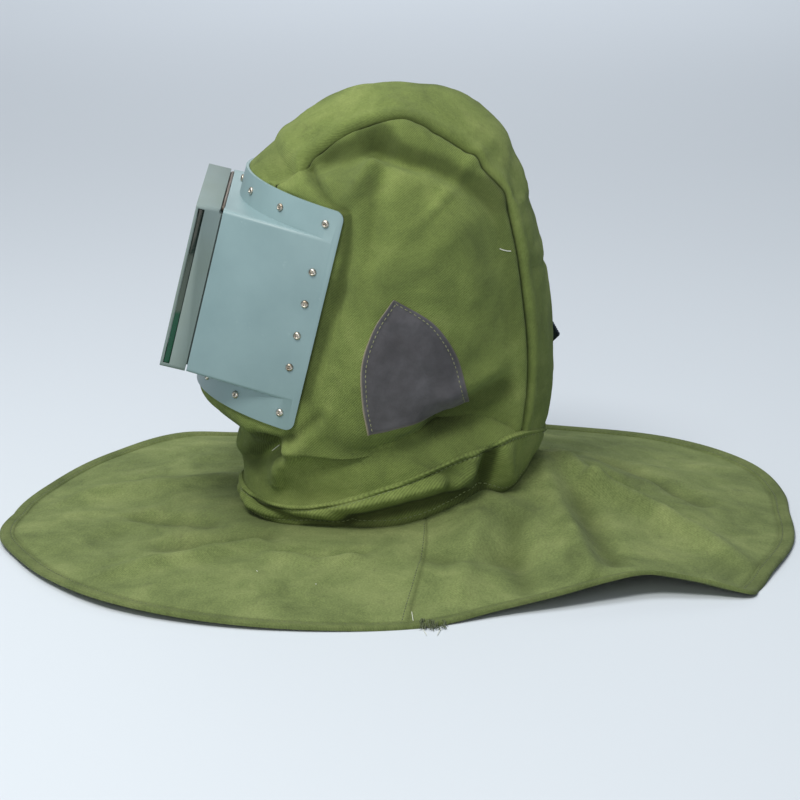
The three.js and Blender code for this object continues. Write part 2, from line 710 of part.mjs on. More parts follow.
// Face plate, a curved flange, and the flared housing moulded on its front
function visorShell() {
  const shellSegments = 28;
  const ringSection = new THREE.Shape();
  const facing = -Math.PI / 2;
  const half = rad(plateHalfAngle);
  ringSection.absarc(0, plateAxis, plateRadius, facing - half, facing + half, false);
  ringSection.absarc(0, plateAxis, plateRadius - plateWall, facing + half, facing - half, true);
  const flange = new THREE.ExtrudeGeometry(ringSection, {
    depth: plateTop + plateBottom, bevelEnabled: false, curveSegments: shellSegments,
  });
  const plate = toSolid(flange.translate(0, 0, -plateBottom));
  const plateEnd = plateAxis - plateRadius * Math.cos(half) + 1;
  const sideCut = new THREE.Shape();
  const front = -housingDepth;
  sideCut.moveTo(front, -plateBottom);
  sideCut.absarc(plateEnd - plateCorner, plateCorner - plateBottom, plateCorner, -Math.PI / 2, 0, false);
  sideCut.absarc(plateEnd - plateCorner, plateTop - plateCorner, plateCorner, 0, Math.PI / 2, false);
  sideCut.lineTo(front, plateTop);
  const trimGeometry = new THREE.ExtrudeGeometry(sideCut, {
    depth: 4 * plateRadius, bevelEnabled: false, curveSegments: 6,
  });
  const turnToSide = new THREE.Matrix4().makeBasis(vec(0, 1, 0), vec(0, 0, 1), vec(1, 0, 0));
  const trim = toSolid(trimGeometry.translate(0, 0, -2 * plateRadius).applyMatrix4(turnToSide));
  const halfHeight = housingHeight / 2;
  const box = extrudeUp(
    trapezium(housingFrontWidth / 2, housingRearWidth / 2, 0, housingDepth),
    -halfHeight, halfHeight, housingBevel);
  const passage = extrudeUp(
    trapezium(
      housingFrontWidth / 2 - plateWall, housingRearWidth / 2 - plateWall, -plateWall, housingDepth + plateWall),
    plateWall - halfHeight, halfHeight - plateWall);
  const passageLimit = extrudeUp(
    trapezium(passageWidth / 2, passageWidth / 2, -plateWall, housingDepth + plateRadius),
    plateWall - halfHeight, halfHeight - plateWall);
  const coreRadius = plateRadius - plateWall / 2;
  const coreGeometry = new THREE.CylinderGeometry(coreRadius, coreRadius, plateTop + plateBottom + 2, 36);
  const core = toSolid(coreGeometry.rotateX(Math.PI / 2)
    .translate(0, plateAxis, (plateTop - plateBottom) / 2));
  return plate.intersect(trim).add(box.subtract(core))
    .subtract(passage.intersect(passageLimit))
    .subtract(pinSolid(pinRadius + pinClearance, pinLength + 2 * pinClearance));
}
addMesh('face_plate', withRivetHoles(toGeometry(visorShell()).applyMatrix4(visorMatrix)), mouldedPlastic);

for (const seat of rivetSeats) addMesh(seat.name, rivetGeometry(seat), nickel);

// Lens frame: a box frame with a slot right through its sides for the glass
const frameHalfWidth = housingFrontWidth / 2;
const frameHalfHeight = housingHeight / 2;
const frameFront = -frameGap - frameDepth;
const slotNear = frameFront + frameRim;

function lensFrame() {
  const outer = extrudeBack(
    roundedOutline(frameHalfWidth, frameHalfHeight, 2.5), frameFront, -frameGap, frameBevel);
  const window = extrudeBack(
    roundedOutline(frameHalfWidth - frameBorder, frameHalfHeight - frameBorder, 3),
    frameFront - 1, 0);
  const slot = extrudeBack(
    roundedOutline(frameHalfWidth + 5, frameHalfHeight - slotEndWall, 0.3),
    slotNear, slotNear + slotWidth);
  const frameGroove = pinRadius + pinSwing;
  return outer.subtract(window).subtract(slot).subtract(pinSolid(frameGroove, 4 * frameHalfWidth));
}
addMesh('lens_frame', toGeometry(lensFrame()).applyMatrix4(visorMatrix), framePlastic);

const glassInset = 1.6;
const glassPane = extrudeBack(
  roundedOutline(frameHalfWidth - glassInset, frameHalfHeight - slotEndWall - glassClearance, 1),
  slotNear + glassClearance, slotNear + slotWidth - glassClearance);
addMesh('lens_glass', toGeometry(glassPane).applyMatrix4(visorMatrix), filterGlass);
addMesh('hinge_pin', toGeometry(pinSolid(pinRadius, pinLength)).applyMatrix4(visorMatrix), pinSteel);

// Point on the outside of the left side panel, straight in from the wearer's left
panelLeft.updateMatrixWorld();
function onLeftPanel(y, z) {
  const ray = new THREE.Raycaster(vec(4 * bandTopHalfWidth, y, z), vec(-1, 0, 0));
  return ray.intersectObject(panelLeft)[0].point;
}

// Ear patch outline: its front and rear edges from the slanted foot to the tip,
// as shares of the patch's width and height
const patchOutline = [
  { up: 0.00, frontY: 0.08, frontZ: 0.00, rearY: 1.00, rearZ: 0.18 },
  { up: 0.25, frontY: 0.01, frontZ: 0.24, rearY: 0.97, rearZ: 0.36 },
  { up: 0.50, frontY: 0.00, frontZ: 0.52, rearY: 0.88, rearZ: 0.58 },
  { up: 0.75, frontY: 0.13, frontZ: 0.80, rearY: 0.70, rearZ: 0.81 },
  { up: 1.00, frontY: 0.35, frontZ: 1.00, rearY: 0.39, rearZ: 0.99 },
];

function earPatch(side) {
  const patchRows = 9;
  const patchColumns = 7;
  const grid = [];
  for (let i = 0; i <= patchRows; i += 1) {
    const up = i / patchRows;
    const row = [];
    for (let j = 0; j <= patchColumns; j += 1) {
      const across = j / patchColumns;
      const y = lerp(
        tableValue(patchOutline, 'up', 'frontY', up), tableValue(patchOutline, 'up', 'rearY', up), across);
      const z = lerp(
        tableValue(patchOutline, 'up', 'frontZ', up), tableValue(patchOutline, 'up', 'rearZ', up), across);
      row.push(onLeftPanel(y * patchWidth - patchForward, z * patchHeight + patchBottom));
    }
    grid.push(row);
  }
  const normals = gridNormals(grid, false);
  const facing = Math.sign(normals[0][0].x);
  const lifted = grid.map((row, i) => row.map((p, j) => {
    const moved = p.clone().addScaledVector(normals[i][j], facing * (patchWall / 2 + patchClearance));
    return moved.setX(moved.x * side);
  }));
  return clothWall(lifted, patchWall);
}
addMesh('ear_patch_left', earPatch(1), greyLeather);
addMesh('ear_patch_right', earPatch(-1), greyLeather);

// Back tab: the end of a webbing strap, sewn on the back of the centre strip
const tabTurn = 22;
const tabHeightShare = 0.83;
const tabAcross = -0.72;

function backTab() {
  const tabColumns = 3;
  const tabRows = 5;
  const seat = stripPoint(tabHeightShare, tabAcross);
  const outward = stripOutward(tabHeightShare).add(vec(-0.55, 0, 0)).normalize();
  const down = vec(0, 0, -1);
  const across = down.clone().cross(outward).normalize();
  const root = seat.clone().addScaledVector(outward, canvasWall / 2 + tabWall / 2 + 2 * canvasClearance);
  const grid = [];
  for (let i = 0; i <= tabRows; i += 1) {
    const out = i / tabRows;
    const lean = Math.sin(rad(tabTurn)) * tabReach * out;
    const row = [];
    for (let j = 0; j <= tabColumns; j += 1) {
      const side = (j / tabColumns - 0.5) * tabWidth;
      row.push(root.clone()
        .addScaledVector(outward, lean)
        .addScaledVector(down, tabReach * out - side * Math.sin(rad(tabTurn)))
        .addScaledVector(across, side * Math.cos(rad(tabTurn))));
    }
    grid.push(row);
  }
  return clothWall(grid, tabWall);
}
addMesh('back_tab', backTab(), navyWebbing);

// The middle of the cape comes over the origin, with the hem on the floor
hood.updateMatrixWorld(true);
const extent = new THREE.Box3().setFromObject(hood);
const middle = extent.getCenter(vec(0, 0, 0));
hood.position.set(-middle.x, -middle.y, -extent.min.z);

export default hood;
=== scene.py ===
import math
import random

import bmesh
import bpy
from mathutils import Matrix, Vector, noise
from mathutils.bvhtree import BVHTree


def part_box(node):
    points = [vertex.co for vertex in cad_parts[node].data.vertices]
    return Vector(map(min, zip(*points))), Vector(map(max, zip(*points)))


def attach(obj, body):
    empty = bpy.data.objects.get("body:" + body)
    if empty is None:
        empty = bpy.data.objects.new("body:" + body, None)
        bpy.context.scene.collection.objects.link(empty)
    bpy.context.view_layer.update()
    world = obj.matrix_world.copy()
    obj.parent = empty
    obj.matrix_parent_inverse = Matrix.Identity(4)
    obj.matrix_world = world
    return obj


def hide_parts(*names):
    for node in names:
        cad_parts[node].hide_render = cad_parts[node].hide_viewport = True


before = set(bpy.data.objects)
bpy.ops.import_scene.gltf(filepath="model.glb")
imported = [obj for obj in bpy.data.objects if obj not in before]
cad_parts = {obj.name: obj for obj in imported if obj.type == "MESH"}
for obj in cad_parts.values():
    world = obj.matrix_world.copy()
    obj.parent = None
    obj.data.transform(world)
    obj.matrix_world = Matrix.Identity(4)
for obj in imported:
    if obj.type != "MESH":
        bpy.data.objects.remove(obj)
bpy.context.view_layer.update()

# Face plate: the hood's visor, one moulding of blue-grey ABS. A curved flange lies over the
# canvas and is riveted to it, and a flared box housing stands out of the flange's front and
# carries the lens frame.
MM = 0.001
VISOR_TILT = math.radians(13.7)
VISOR_FORWARD = 156.7
VISOR_HEIGHT = 215.5
PLATE_RADIUS = 108
PLATE_HALF_ANGLE = 78
PLATE_WALL = 2.5
PLATE_AXIS = 9 + PLATE_RADIUS
PLATE_TOP = 92.5
PLATE_BOTTOM = 92
PLATE_CORNER = 7
HOUSING_FRONT = 172
HOUSING_REAR = 210
HOUSING_HEIGHT = 137
HOUSING_DEPTH = 91.4
HOUSING_EDGE = 3
FRAME_GAP = 1.2
PIN_RADIUS = 1.6

BACK_AXIS = Vector((0, math.cos(VISOR_TILT), -math.sin(VISOR_TILT)))
UP_AXIS = Vector((0, math.sin(VISOR_TILT), math.cos(VISOR_TILT)))
PIN_R = -FRAME_GAP / 2
PIN_U = HOUSING_HEIGHT / 2 - PIN_RADIUS


def on_visor(x, r, u):
    """Point of the visor, r back into the hood and u up the visor, before the hood's shift."""
    return Vector((x, -VISOR_FORWARD, VISOR_HEIGHT)) + BACK_AXIS * r + UP_AXIS * u


# The hood stands a little off the middle of its cape, by what the hinge pin shows
pin_low, pin_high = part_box("hinge_pin")
HOOD_SHIFT = (pin_low + pin_high) / 2 / MM - on_visor(0, PIN_R, PIN_U)
visor_matrix = Matrix((
    (1, 0, 0, HOOD_SHIFT.x * MM),
    (0, BACK_AXIS.y, UP_AXIS.y, (HOOD_SHIFT.y - VISOR_FORWARD) * MM),
    (0, BACK_AXIS.z, UP_AXIS.z, (HOOD_SHIFT.z + VISOR_HEIGHT) * MM),
    (0, 0, 0, 1),
))


def start_piece(name):
    """The primitive that was just added gets its name and stays selected by itself."""
    piece = bpy.context.object
    piece.name = piece.data.name = name
    bpy.ops.object.transform_apply(location=True, rotation=True, scale=True)
    return piece


def edit_faces(piece, picks):
    """Goes into edit mode with the faces selected that picks(centre, normal) takes."""
    bpy.context.view_layer.objects.active = piece
    for polygon in piece.data.polygons:
        polygon.select = picks(polygon.center, polygon.normal)
    for edge in piece.data.edges:
        edge.select = False
    for vertex in piece.data.vertices:
        vertex.select = False
    bpy.ops.object.mode_set(mode="EDIT")
    bpy.ops.mesh.select_mode(type="FACE")


def add_box(name, width, depth, height, centre):
    """Box in the visor's axes, in mm."""
    bpy.ops.object.select_all(action="DESELECT")
    bpy.ops.mesh.primitive_cube_add(size=1, location=[c * MM for c in centre])
    bpy.context.object.scale = (width * MM, depth * MM, height * MM)
    return start_piece(name)


def modified(piece, kind, **settings):
    """A modifier on a piece, applied at once."""
    bpy.context.view_layer.objects.active = piece
    modifier = piece.modifiers.new(kind.title(), kind)
    for setting, value in settings.items():
        setattr(modifier, setting, value)
    bpy.ops.object.modifier_apply(modifier=modifier.name)


def cut(piece, tool, operation="DIFFERENCE"):
    """Boolean of a piece with a tool, which is used up."""
    modified(piece, "BOOLEAN", operation=operation, object=tool, solver="EXACT")
    bpy.data.objects.remove(tool)


def smooth(piece, degrees):
    bpy.ops.object.select_all(action="DESELECT")
    piece.select_set(True)
    bpy.context.view_layer.objects.active = piece
    bpy.ops.object.shade_smooth_by_angle(angle=math.radians(degrees))


def finish_piece(piece, body, material):
    """Material and body of a finished piece, whose object is at the origin."""
    piece.data.materials.clear()
    piece.data.materials.append(material)
    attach(piece, body)


def colour(code):
    """Linear colour of an sRGB hex value."""
    channels = [int(code[i:i + 2], 16) / 255 for i in (1, 3, 5)]
    return [c / 12.92 if c <= 0.04045 else ((c + 0.055) / 1.055) ** 2.4 for c in channels] + [1]


def new_material(name):
    material = bpy.data.materials.new(name)
    material.use_nodes = True
    return material, material.node_tree, material.node_tree.nodes["Principled BSDF"]


def add_node(tree, kind, values=None, links=None, **settings):
    """A node with its settings, its sockets' values and what is linked to them."""
    node = tree.nodes.new(kind)
    for setting, value in settings.items():
        setattr(node, setting, value)
    for socket, value in (values or {}).items():
        node.inputs[socket].default_value = value
    for socket, source in (links or {}).items():
        tree.links.new(source, node.inputs[socket])
    return node


def set_ramp(node, stops):
    """Stops of a Color Ramp, as (position, linear colour) pairs."""
    ramp = node.color_ramp
    while len(ramp.elements) < len(stops):
        ramp.elements.new(1)
    for element, (position, shade) in zip(ramp.elements, stops):
        element.position = position
        element.color = shade


# Satin moulded ABS: faint flow mottle, a fine texture that softens the gloss, and scuffs
def moulded_plastic(name, shade, dark_shade, pale_shade, roughness):
    material, tree, shader = new_material(name)
    place = add_node(tree, "ShaderNodeTexCoord").outputs["Object"]
    cloud = add_node(tree, "ShaderNodeTexNoise", {"Scale": 18, "Detail": 4}, {"Vector": place})
    tone = add_node(tree, "ShaderNodeValToRGB", links={"Fac": cloud.outputs["Fac"]})
    set_ramp(tone, [(0.3, colour(dark_shade)), (0.62, colour(shade))])
    scuff = add_node(
        tree, "ShaderNodeTexNoise", {"Scale": 90, "Detail": 6, "Roughness": 0.72}, {"Vector": place})
    scuff_edge = add_node(tree, "ShaderNodeValToRGB", links={"Fac": scuff.outputs["Fac"]})
    set_ramp(scuff_edge, [(0.64, (0, 0, 0, 1)), (0.72, (0.5, 0.5, 0.5, 1))])
    mixed = add_node(
        tree, "ShaderNodeMix", {"B": colour(pale_shade)},
        {"Factor": scuff_edge.outputs["Color"], "A": tone.outputs["Color"]}, data_type="RGBA")
    tree.links.new(mixed.outputs["Result"], shader.inputs["Base Color"])
    rough = add_node(
        tree, "ShaderNodeMapRange",
        {"To Min": roughness - 0.05, "To Max": roughness + 0.1}, {"Value": cloud.outputs["Fac"]})
    tree.links.new(rough.outputs["Result"], shader.inputs["Roughness"])
    grain = add_node(tree, "ShaderNodeTexNoise", {"Scale": 900, "Detail": 2}, {"Vector": place})
    bump = add_node(
        tree, "ShaderNodeBump", {"Strength": 0.12, "Distance": 0.0004},
        {"Height": grain.outputs["Fac"]})
    tree.links.new(bump.outputs["Normal"], shader.inputs["Normal"])
    shader.inputs["IOR"].default_value = 1.5
    return material


visor_plastic = moulded_plastic("moulded ABS, blue grey", "#859fa3", "#7c969a", "#9bb1b5", 0.4)

# Flange: a slice of a tube, cut to its corners and given its wall
bpy.ops.object.select_all(action="DESELECT")
bpy.ops.mesh.primitive_cylinder_add(
    vertices=180, radius=PLATE_RADIUS * MM, depth=(PLATE_TOP + PLATE_BOTTOM) * MM, end_fill_type="NOTHING",
    location=(0, PLATE_AXIS * MM, (PLATE_TOP - PLATE_BOTTOM) / 2 * MM))
plate = start_piece("face_plate_moulding")
PLATE_END = PLATE_AXIS - PLATE_RADIUS * math.cos(math.radians(PLATE_HALF_ANGLE))
edit_faces(plate, lambda centre, normal: centre.y / MM > PLATE_END)
bpy.ops.mesh.delete(type="FACE")
bpy.ops.object.mode_set(mode="OBJECT")
modified(plate, "SOLIDIFY", thickness=PLATE_WALL * MM, offset=-1, use_even_offset=True)
trim = add_box(
    "plate_trim", 400, 140, PLATE_TOP + PLATE_BOTTOM,
    (0, PLATE_END - 0.4 - 70, (PLATE_TOP - PLATE_BOTTOM) / 2))
edit_faces(trim, lambda centre, normal: False)
bpy.ops.mesh.select_mode(type="EDGE")
bpy.ops.object.mode_set(mode="OBJECT")
for edge in trim.data.edges:
    ends = [trim.data.vertices[v].co for v in edge.vertices]
    edge.select = all(end.y > 0 for end in ends) and abs(ends[0].x - ends[1].x) > 0.1
bpy.ops.object.mode_set(mode="EDIT")
bpy.ops.mesh.bevel(offset=PLATE_CORNER * MM, segments=8, profile=0.5)
bpy.ops.object.mode_set(mode="OBJECT")
cut(plate, trim, "INTERSECT")


def tapered_box(name, front_width, rear_width, height, near, far):
    """Box that widens towards the back, in the visor's axes, in mm."""
    piece = add_box(name, front_width, far - near, height, (0, (near + far) / 2, 0))
    edit_faces(piece, lambda centre, normal: normal.y > 0.9)
    bpy.ops.transform.resize(value=(rear_width / front_width, 1, 1))
    bpy.ops.object.mode_set(mode="OBJECT")
    return piece


housing = tapered_box(
    "housing", HOUSING_FRONT, HOUSING_REAR, HOUSING_HEIGHT, 0, HOUSING_DEPTH)
bpy.ops.object.mode_set(mode="OBJECT")
for edge in housing.data.edges:
    ends = [housing.data.vertices[v].co for v in edge.vertices]
    edge.select = abs(ends[0].y - ends[1].y) > 0.01
bpy.ops.object.mode_set(mode="EDIT")
bpy.ops.mesh.select_mode(type="EDGE")
bpy.ops.object.mode_set(mode="OBJECT")
for edge in housing.data.edges:
    ends = [housing.data.vertices[v].co for v in edge.vertices]
    edge.select = abs(ends[0].y - ends[1].y) > 0.01
bpy.ops.object.mode_set(mode="EDIT")
bpy.ops.mesh.bevel(offset=HOUSING_EDGE * MM, segments=4, profile=0.5)
bpy.ops.object.mode_set(mode="OBJECT")
bpy.ops.object.select_all(action="DESELECT")
bpy.ops.mesh.primitive_cylinder_add(
    vertices=180, radius=(PLATE_RADIUS - PLATE_WALL / 2) * MM, depth=0.4,
    location=(0, PLATE_AXIS * MM, 0))
cut(housing, start_piece("housing_rear_cut"))
cut(plate, housing, "UNION")
PASSAGE = 176
passage = tapered_box(
    "passage", HOUSING_FRONT - 2 * PLATE_WALL, HOUSING_REAR - 2 * PLATE_WALL,
    HOUSING_HEIGHT - 2 * PLATE_WALL, -PLATE_WALL, HOUSING_DEPTH)
cut(passage, add_box("passage_limit", PASSAGE, 300, 300, (0, 50, 0)), "INTERSECT")
cut(plate, passage)


def pin_shape(name, radius, length):
    bpy.ops.object.select_all(action="DESELECT")
    bpy.ops.mesh.primitive_cylinder_add(
        vertices=32, radius=radius * MM, depth=length * MM,
        location=(0, PIN_R * MM, PIN_U * MM), rotation=(0, math.pi / 2, 0))
    return start_piece(name)


PIN_LENGTH = 150
cut(plate, pin_shape("pin_groove", PIN_RADIUS + 0.35, PIN_LENGTH + 0.7))
modified(
    plate, "BEVEL", width=0.45 * MM, segments=2, limit_method="ANGLE", angle_limit=math.radians(38))
plate.data.transform(visor_matrix)
smooth(plate, 35)
finish_piece(plate, "hood", visor_plastic)
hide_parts("face_plate")

# Side panels: two pieces of heavy green cotton twill, cut full so that they stand round the
# head. Each is riveted under the plate's flange and sewn to the centre strip, to the neck
# band and, under the chin, to the other panel.
HOOD_HEIGHT = 369
HOOD_HALF_DEPTH = 126
CANVAS_WALL = 2
CANVAS_RADIUS = PLATE_RADIUS - PLATE_WALL - 0.35 - CANVAS_WALL / 2
STRIP_HALF = 57
STRIP_FLARE = 10
SEAM_GAP = 1.5
JOIN_GAP = 0.7
BAND_TUCK = 1.3
BAND_HALF_WIDTH = 105
BAND_FRONT = 134
BAND_BACK = 121.5
NECK_HEIGHT = 50


def along_table(rows, key, column, at):
    """Smooth value of one named column at a place along a table, by a spline through its rows."""
    i = 0
    while i < len(rows) - 2 and rows[i + 1][key] <= at:
        i += 1
    before, start, end, after = rows[max(i - 1, 0)], rows[i], rows[i + 1], rows[min(i + 2, len(rows) - 1)]
    span = end[key] - start[key]
    t = min(max((at - start[key]) / span, 0), 1)
    slope_in = (end[column] - before[column]) / (end[key] - before[key]) * span
    slope_out = (after[column] - start[column]) / (after[key] - start[key]) * span
    return ((2 * t**3 - 3 * t**2 + 1) * start[column] + (t**3 - 2 * t**2 + t) * slope_in
            + (3 * t**2 - 2 * t**3) * end[column] + (t**3 - t**2) * slope_out)


def mix(a, b, share):
    return a + (b - a) * share


def ease(low, high, value):
    """Smooth step from 0 at low to 1 at high."""
    t = min(max((value - low) / (high - low), 0), 1)
    return t * t * (3 - 2 * t)


def fold_height(folds, a, b):
    """Height in mm of rounded ridges and valleys at a point. Each fold has its width, its
    height, and the points that it runs through."""
    height = 0
    for width, rise, points in folds:
        nearest = 1e9
        for (from_a, from_b), (to_a, to_b) in zip(points, points[1:]):
            da, db = to_a - from_a, to_b - from_b
            share = min(max(((a - from_a) * da + (b - from_b) * db) / (da * da + db * db), 0), 1)
            nearest = min(nearest, math.hypot(a - from_a - share * da, b - from_b - share * db))
        height += rise * math.exp(-((nearest / width) ** 2))
    return height


def creases(place, size, seed):
    """Soft creases as in crumpled heavy cloth, about -1 to 1, of one size in mm."""
    spot = place / size + Vector((seed, 2.7 * seed, 0))
    swirl = spot + 0.5 * noise.noise_vector(spot * 0.7)
    return 1.3 * noise.noise(swirl) - 1.1 * abs(noise.noise(swirl * 1.6 + Vector((9, 4, 1)))) + 0.28


def grid_normals(grid, ring):
    rows = len(grid)
    normals = []
    for i, row in enumerate(grid):
        before = grid[(i - 1) % rows if ring else max(i - 1, 0)]
        after = grid[(i + 1) % rows if ring else min(i + 1, rows - 1)]
        normals.append([
            (after[j] - before[j]).cross(row[min(j + 1, len(row) - 1)] - row[max(j - 1, 0)]).normalized()
            for j in range(len(row))])
    return normals


def wall_piece(name, outer, inner, ring=False, marks=None, flat=None):
    """Closed cloth wall between two grids of points in mm. Its UV map has the cloth's own
    lengths, in metres, or what flat gives for a point. marks gives a number of each grid
    point to the attribute mark."""
    rows, columns = len(outer), len(outer[0])
    uv = {}
    for i in range(rows + 1 if ring else rows):
        for j in range(columns):
            here = outer[i % rows][j]
            if flat:
                uv[i, j] = [length * MM for length in flat(here)]
                continue
            down = uv[i, j - 1][1] + (here - outer[i % rows][j - 1]).length * MM if j else 0
            along = uv[i - 1, j][0] + (here - outer[i - 1][j]).length * MM if i else 0
            uv[i, j] = (along, down)
    faces = []
    for i in range(rows if ring else rows - 1):
        for j in range(columns - 1):
            faces.append([(0, i, j), (0, i + 1, j), (0, i + 1, j + 1), (0, i, j + 1)])
            faces.append([(1, i, j), (1, i, j + 1), (1, i + 1, j + 1), (1, i + 1, j)])
        faces.append([(0, i, 0), (1, i, 0), (1, i + 1, 0), (0, i + 1, 0)])
        end = columns - 1
        faces.append([(0, i, end), (0, i + 1, end), (1, i + 1, end), (1, i, end)])
    if not ring:
        for j in range(columns - 1):
            end = rows - 1
            faces.append([(0, 0, j), (0, 0, j + 1), (1, 0, j + 1), (1, 0, j)])
            faces.append([(0, end, j), (1, end, j), (1, end, j + 1), (0, end, j + 1)])
    points = [(p + HOOD_SHIFT) * MM for grid in (outer, inner) for row in grid for p in row]
    mesh = bpy.data.meshes.new(name)
    mesh.from_pydata(points, [], [
        [(side * rows + i % rows) * columns + j for side, i, j in face] for face in faces])
    layer = mesh.uv_layers.new(name="cloth")
    corner = 0
    for face in faces:
        for _, i, j in face:
            layer.data[corner].uv = uv[i, j]
            corner += 1
    attribute = mesh.attributes.new("mark", "FLOAT", "POINT")
    for side in (0, 1):
        for i in range(rows):
            for j in range(columns):
                value = marks[i][j] if marks else 0
                attribute.data[(side * rows + i) * columns + j].value = value
    shell = bmesh.new()
    shell.from_mesh(mesh)
    if shell.calc_volume(signed=True) < 0:
        bmesh.ops.reverse_faces(shell, faces=shell.faces)
        shell.to_mesh(mesh)
    shell.free()
    piece = bpy.data.objects.new(name, mesh)
    bpy.context.scene.collection.objects.link(piece)
    smooth(piece, 55)
    return piece


def cloth_piece(name, grid, thickness, ring=False, marks=None, flat=None):
    """Cloth wall of even thickness about a grid of points on its middle surface."""
    normals = grid_normals(grid, ring)
    outer, inner = ([
        [p + normals[i][j] * side * thickness / 2 for j, p in enumerate(row)]
        for i, row in enumerate(grid)] for side in (1, -1))
    return wall_piece(name, outer, inner, ring, marks, flat)


# Heavy cotton twill, washed: diagonal ribs and yarn fuzz, blotches where the dye has worn,
# and almost no gloss but a little fuzz sheen. Real ribs are 0.8 mm apart and are drawn
# 1.5 mm apart, so that they show.
def cotton_twill(name, shades, stain_shade, hem_and_painted_shade, rib_strength):
    material, tree, shader = new_material(name)
    cloth = add_node(tree, "ShaderNodeUVMap", uv_map="cloth").outputs["UV"]
    place = add_node(tree, "ShaderNodeTexCoord").outputs["Object"]
    patches = add_node(
        tree, "ShaderNodeTexNoise", {"Scale": 14, "Detail": 7, "Roughness": 0.68, "Distortion": 0.4},
        {"Vector": place})
    tone = add_node(tree, "ShaderNodeValToRGB", links={"Fac": patches.outputs["Fac"]})
    set_ramp(tone, [(0.32, colour(shades[0])), (0.5, colour(shades[1])), (0.68, colour(shades[2]))])
    rib_period = 1.5 * MM
    turned = add_node(
        tree, "ShaderNodeMapping", {"Rotation": (0, 0, math.radians(47))}, {"Vector": cloth})
    wander = add_node(
        tree, "ShaderNodeTexWave",
        {"Scale": 1 / rib_period / 3.2, "Distortion": 1.6, "Detail": 2, "Detail Scale": 6},
        {"Vector": turned.outputs["Vector"]})
    yarn = add_node(
        tree, "ShaderNodeTexNoise", {"Scale": 520, "Detail": 4, "Roughness": 0.75}, {"Vector": cloth})
    weave = add_node(
        tree, "ShaderNodeMath", {1: rib_strength},
        {0: wander.outputs["Color"], 2: yarn.outputs["Fac"]}, operation="MULTIPLY_ADD")
    weave_shade = add_node(
        tree, "ShaderNodeMapRange", {"From Min": 0.3, "From Max": 0.7 + rib_strength, "To Min": 0.66, "To Max": 1.25},
        {"Value": weave.outputs["Value"]})
    woven = add_node(
        tree, "ShaderNodeVectorMath",
        links={0: tone.outputs["Color"], 1: weave_shade.outputs["Result"]}, operation="MULTIPLY")
    smudge = add_node(
        tree, "ShaderNodeTexNoise", {"Scale": 34, "Detail": 8, "Roughness": 0.75}, {"Vector": place})
    smudge_edge = add_node(tree, "ShaderNodeValToRGB", links={"Fac": smudge.outputs["Fac"]})
    set_ramp(smudge_edge, [(0.56, (0, 0, 0, 1)), (0.78, (0.55, 0.55, 0.55, 1))])
    stained = add_node(
        tree, "ShaderNodeMix", {"B": colour(stain_shade)},
        {"Factor": smudge_edge.outputs["Color"], "A": woven.outputs["Vector"]}, data_type="RGBA")
    # The attribute mark blends in the last colour: painted shade in the seams' grooves, in the folds' valleys, where
    # it is partly dye, and on the neck band; on the cape also the hem's darker tone.
    mark = add_node(tree, "ShaderNodeAttribute", attribute_name="mark")
    hem_and_shade_mix = add_node(
        tree, "ShaderNodeMix", {"B": colour(hem_and_painted_shade)},
        {"Factor": mark.outputs["Fac"], "A": stained.outputs["Result"]}, data_type="RGBA")
    tree.links.new(hem_and_shade_mix.outputs["Result"], shader.inputs["Base Color"])
    bump = add_node(
        tree, "ShaderNodeBump", {"Strength": 0.75, "Distance": 0.0006},
        {"Height": weave.outputs["Value"]})
    tree.links.new(bump.outputs["Normal"], shader.inputs["Normal"])
    shader.inputs["Roughness"].default_value = 0.92
    shader.inputs["IOR"].default_value = 1.45
    shader.inputs["Specular IOR Level"].default_value = 0.18
    shader.inputs["Sheen Weight"].default_value = 0.03
    shader.inputs["Sheen Roughness"].default_value = 0.6
    return material


# The last colour, a near-black green, is painted shade in the seams and the folds' valleys.
canvas_cloth = cotton_twill(
    "heavy cotton twill, washed green", ("#5e6c3c", "#728247", "#879557"), "#565f3a", "#1d260f", 0.5)

# Middle line of the centre strip as shares of the hood's half depth and height, and how far
# it stands above its seams as a share of its half width
STRIP_PROFILE = [
    {"at": 0.00, "along": -0.842, "up": 0.870, "crown": 0.42},
    {"at": 0.08, "along": -0.580, "up": 0.946, "crown": 0.40},
    {"at": 0.16, "along": -0.294, "up": 0.989, "crown": 0.32},
    {"at": 0.23, "along": 0.000, "up": 1.000, "crown": 0.30},
    {"at": 0.31, "along": 0.270, "up": 0.996, "crown": 0.30},
    {"at": 0.40, "along": 0.532, "up": 0.949, "crown": 0.30},
    {"at": 0.48, "along": 0.730, "up": 0.870, "crown": 0.32},
    {"at": 0.57, "along": 0.833, "up": 0.767, "crown": 0.30},
    {"at": 0.67, "along": 0.921, "up": 0.640, "crown": 0.30},
    {"at": 0.78, "along": 0.992, "up": 0.510, "crown": 0.32},
    {"at": 0.90, "along": 1.008, "up": 0.355, "crown": 0.35},
    {"at": 1.00, "along": 0.968, "up": 0.212, "crown": 0.35},
]


# How far the seams lie below an even curve, in mm, where the cloth is pulled in
SEAM_DROP = [
    {"at": 0.00, "drop": 6.5},
    {"at": 0.02, "drop": 4.0},
    {"at": 0.04, "drop": 1.5},
    {"at": 0.08, "drop": 1.7},
    {"at": 0.16, "drop": 2.8},
    {"at": 0.20, "drop": 0.7},
    {"at": 0.235, "drop": 0.0},
    {"at": 0.26, "drop": 4.0},
    {"at": 0.30, "drop": 9.4},
    {"at": 0.34, "drop": 11.0},
    {"at": 0.38, "drop": 11.5},
    {"at": 0.42, "drop": 9.6},
    {"at": 0.44, "drop": 5.6},
    {"at": 0.47, "drop": 6.8},
    {"at": 0.50, "drop": 4.4},
    {"at": 0.52, "drop": 1.2},
    {"at": 0.545, "drop": -2.3},
    {"at": 0.58, "drop": -0.5},
    {"at": 0.66, "drop": 0.4},
    {"at": 0.75, "drop": 2.5},
    {"at": 0.82, "drop": 1.7},
    {"at": 0.90, "drop": 0.9},
    {"at": 1.00, "drop": 1.2},
]


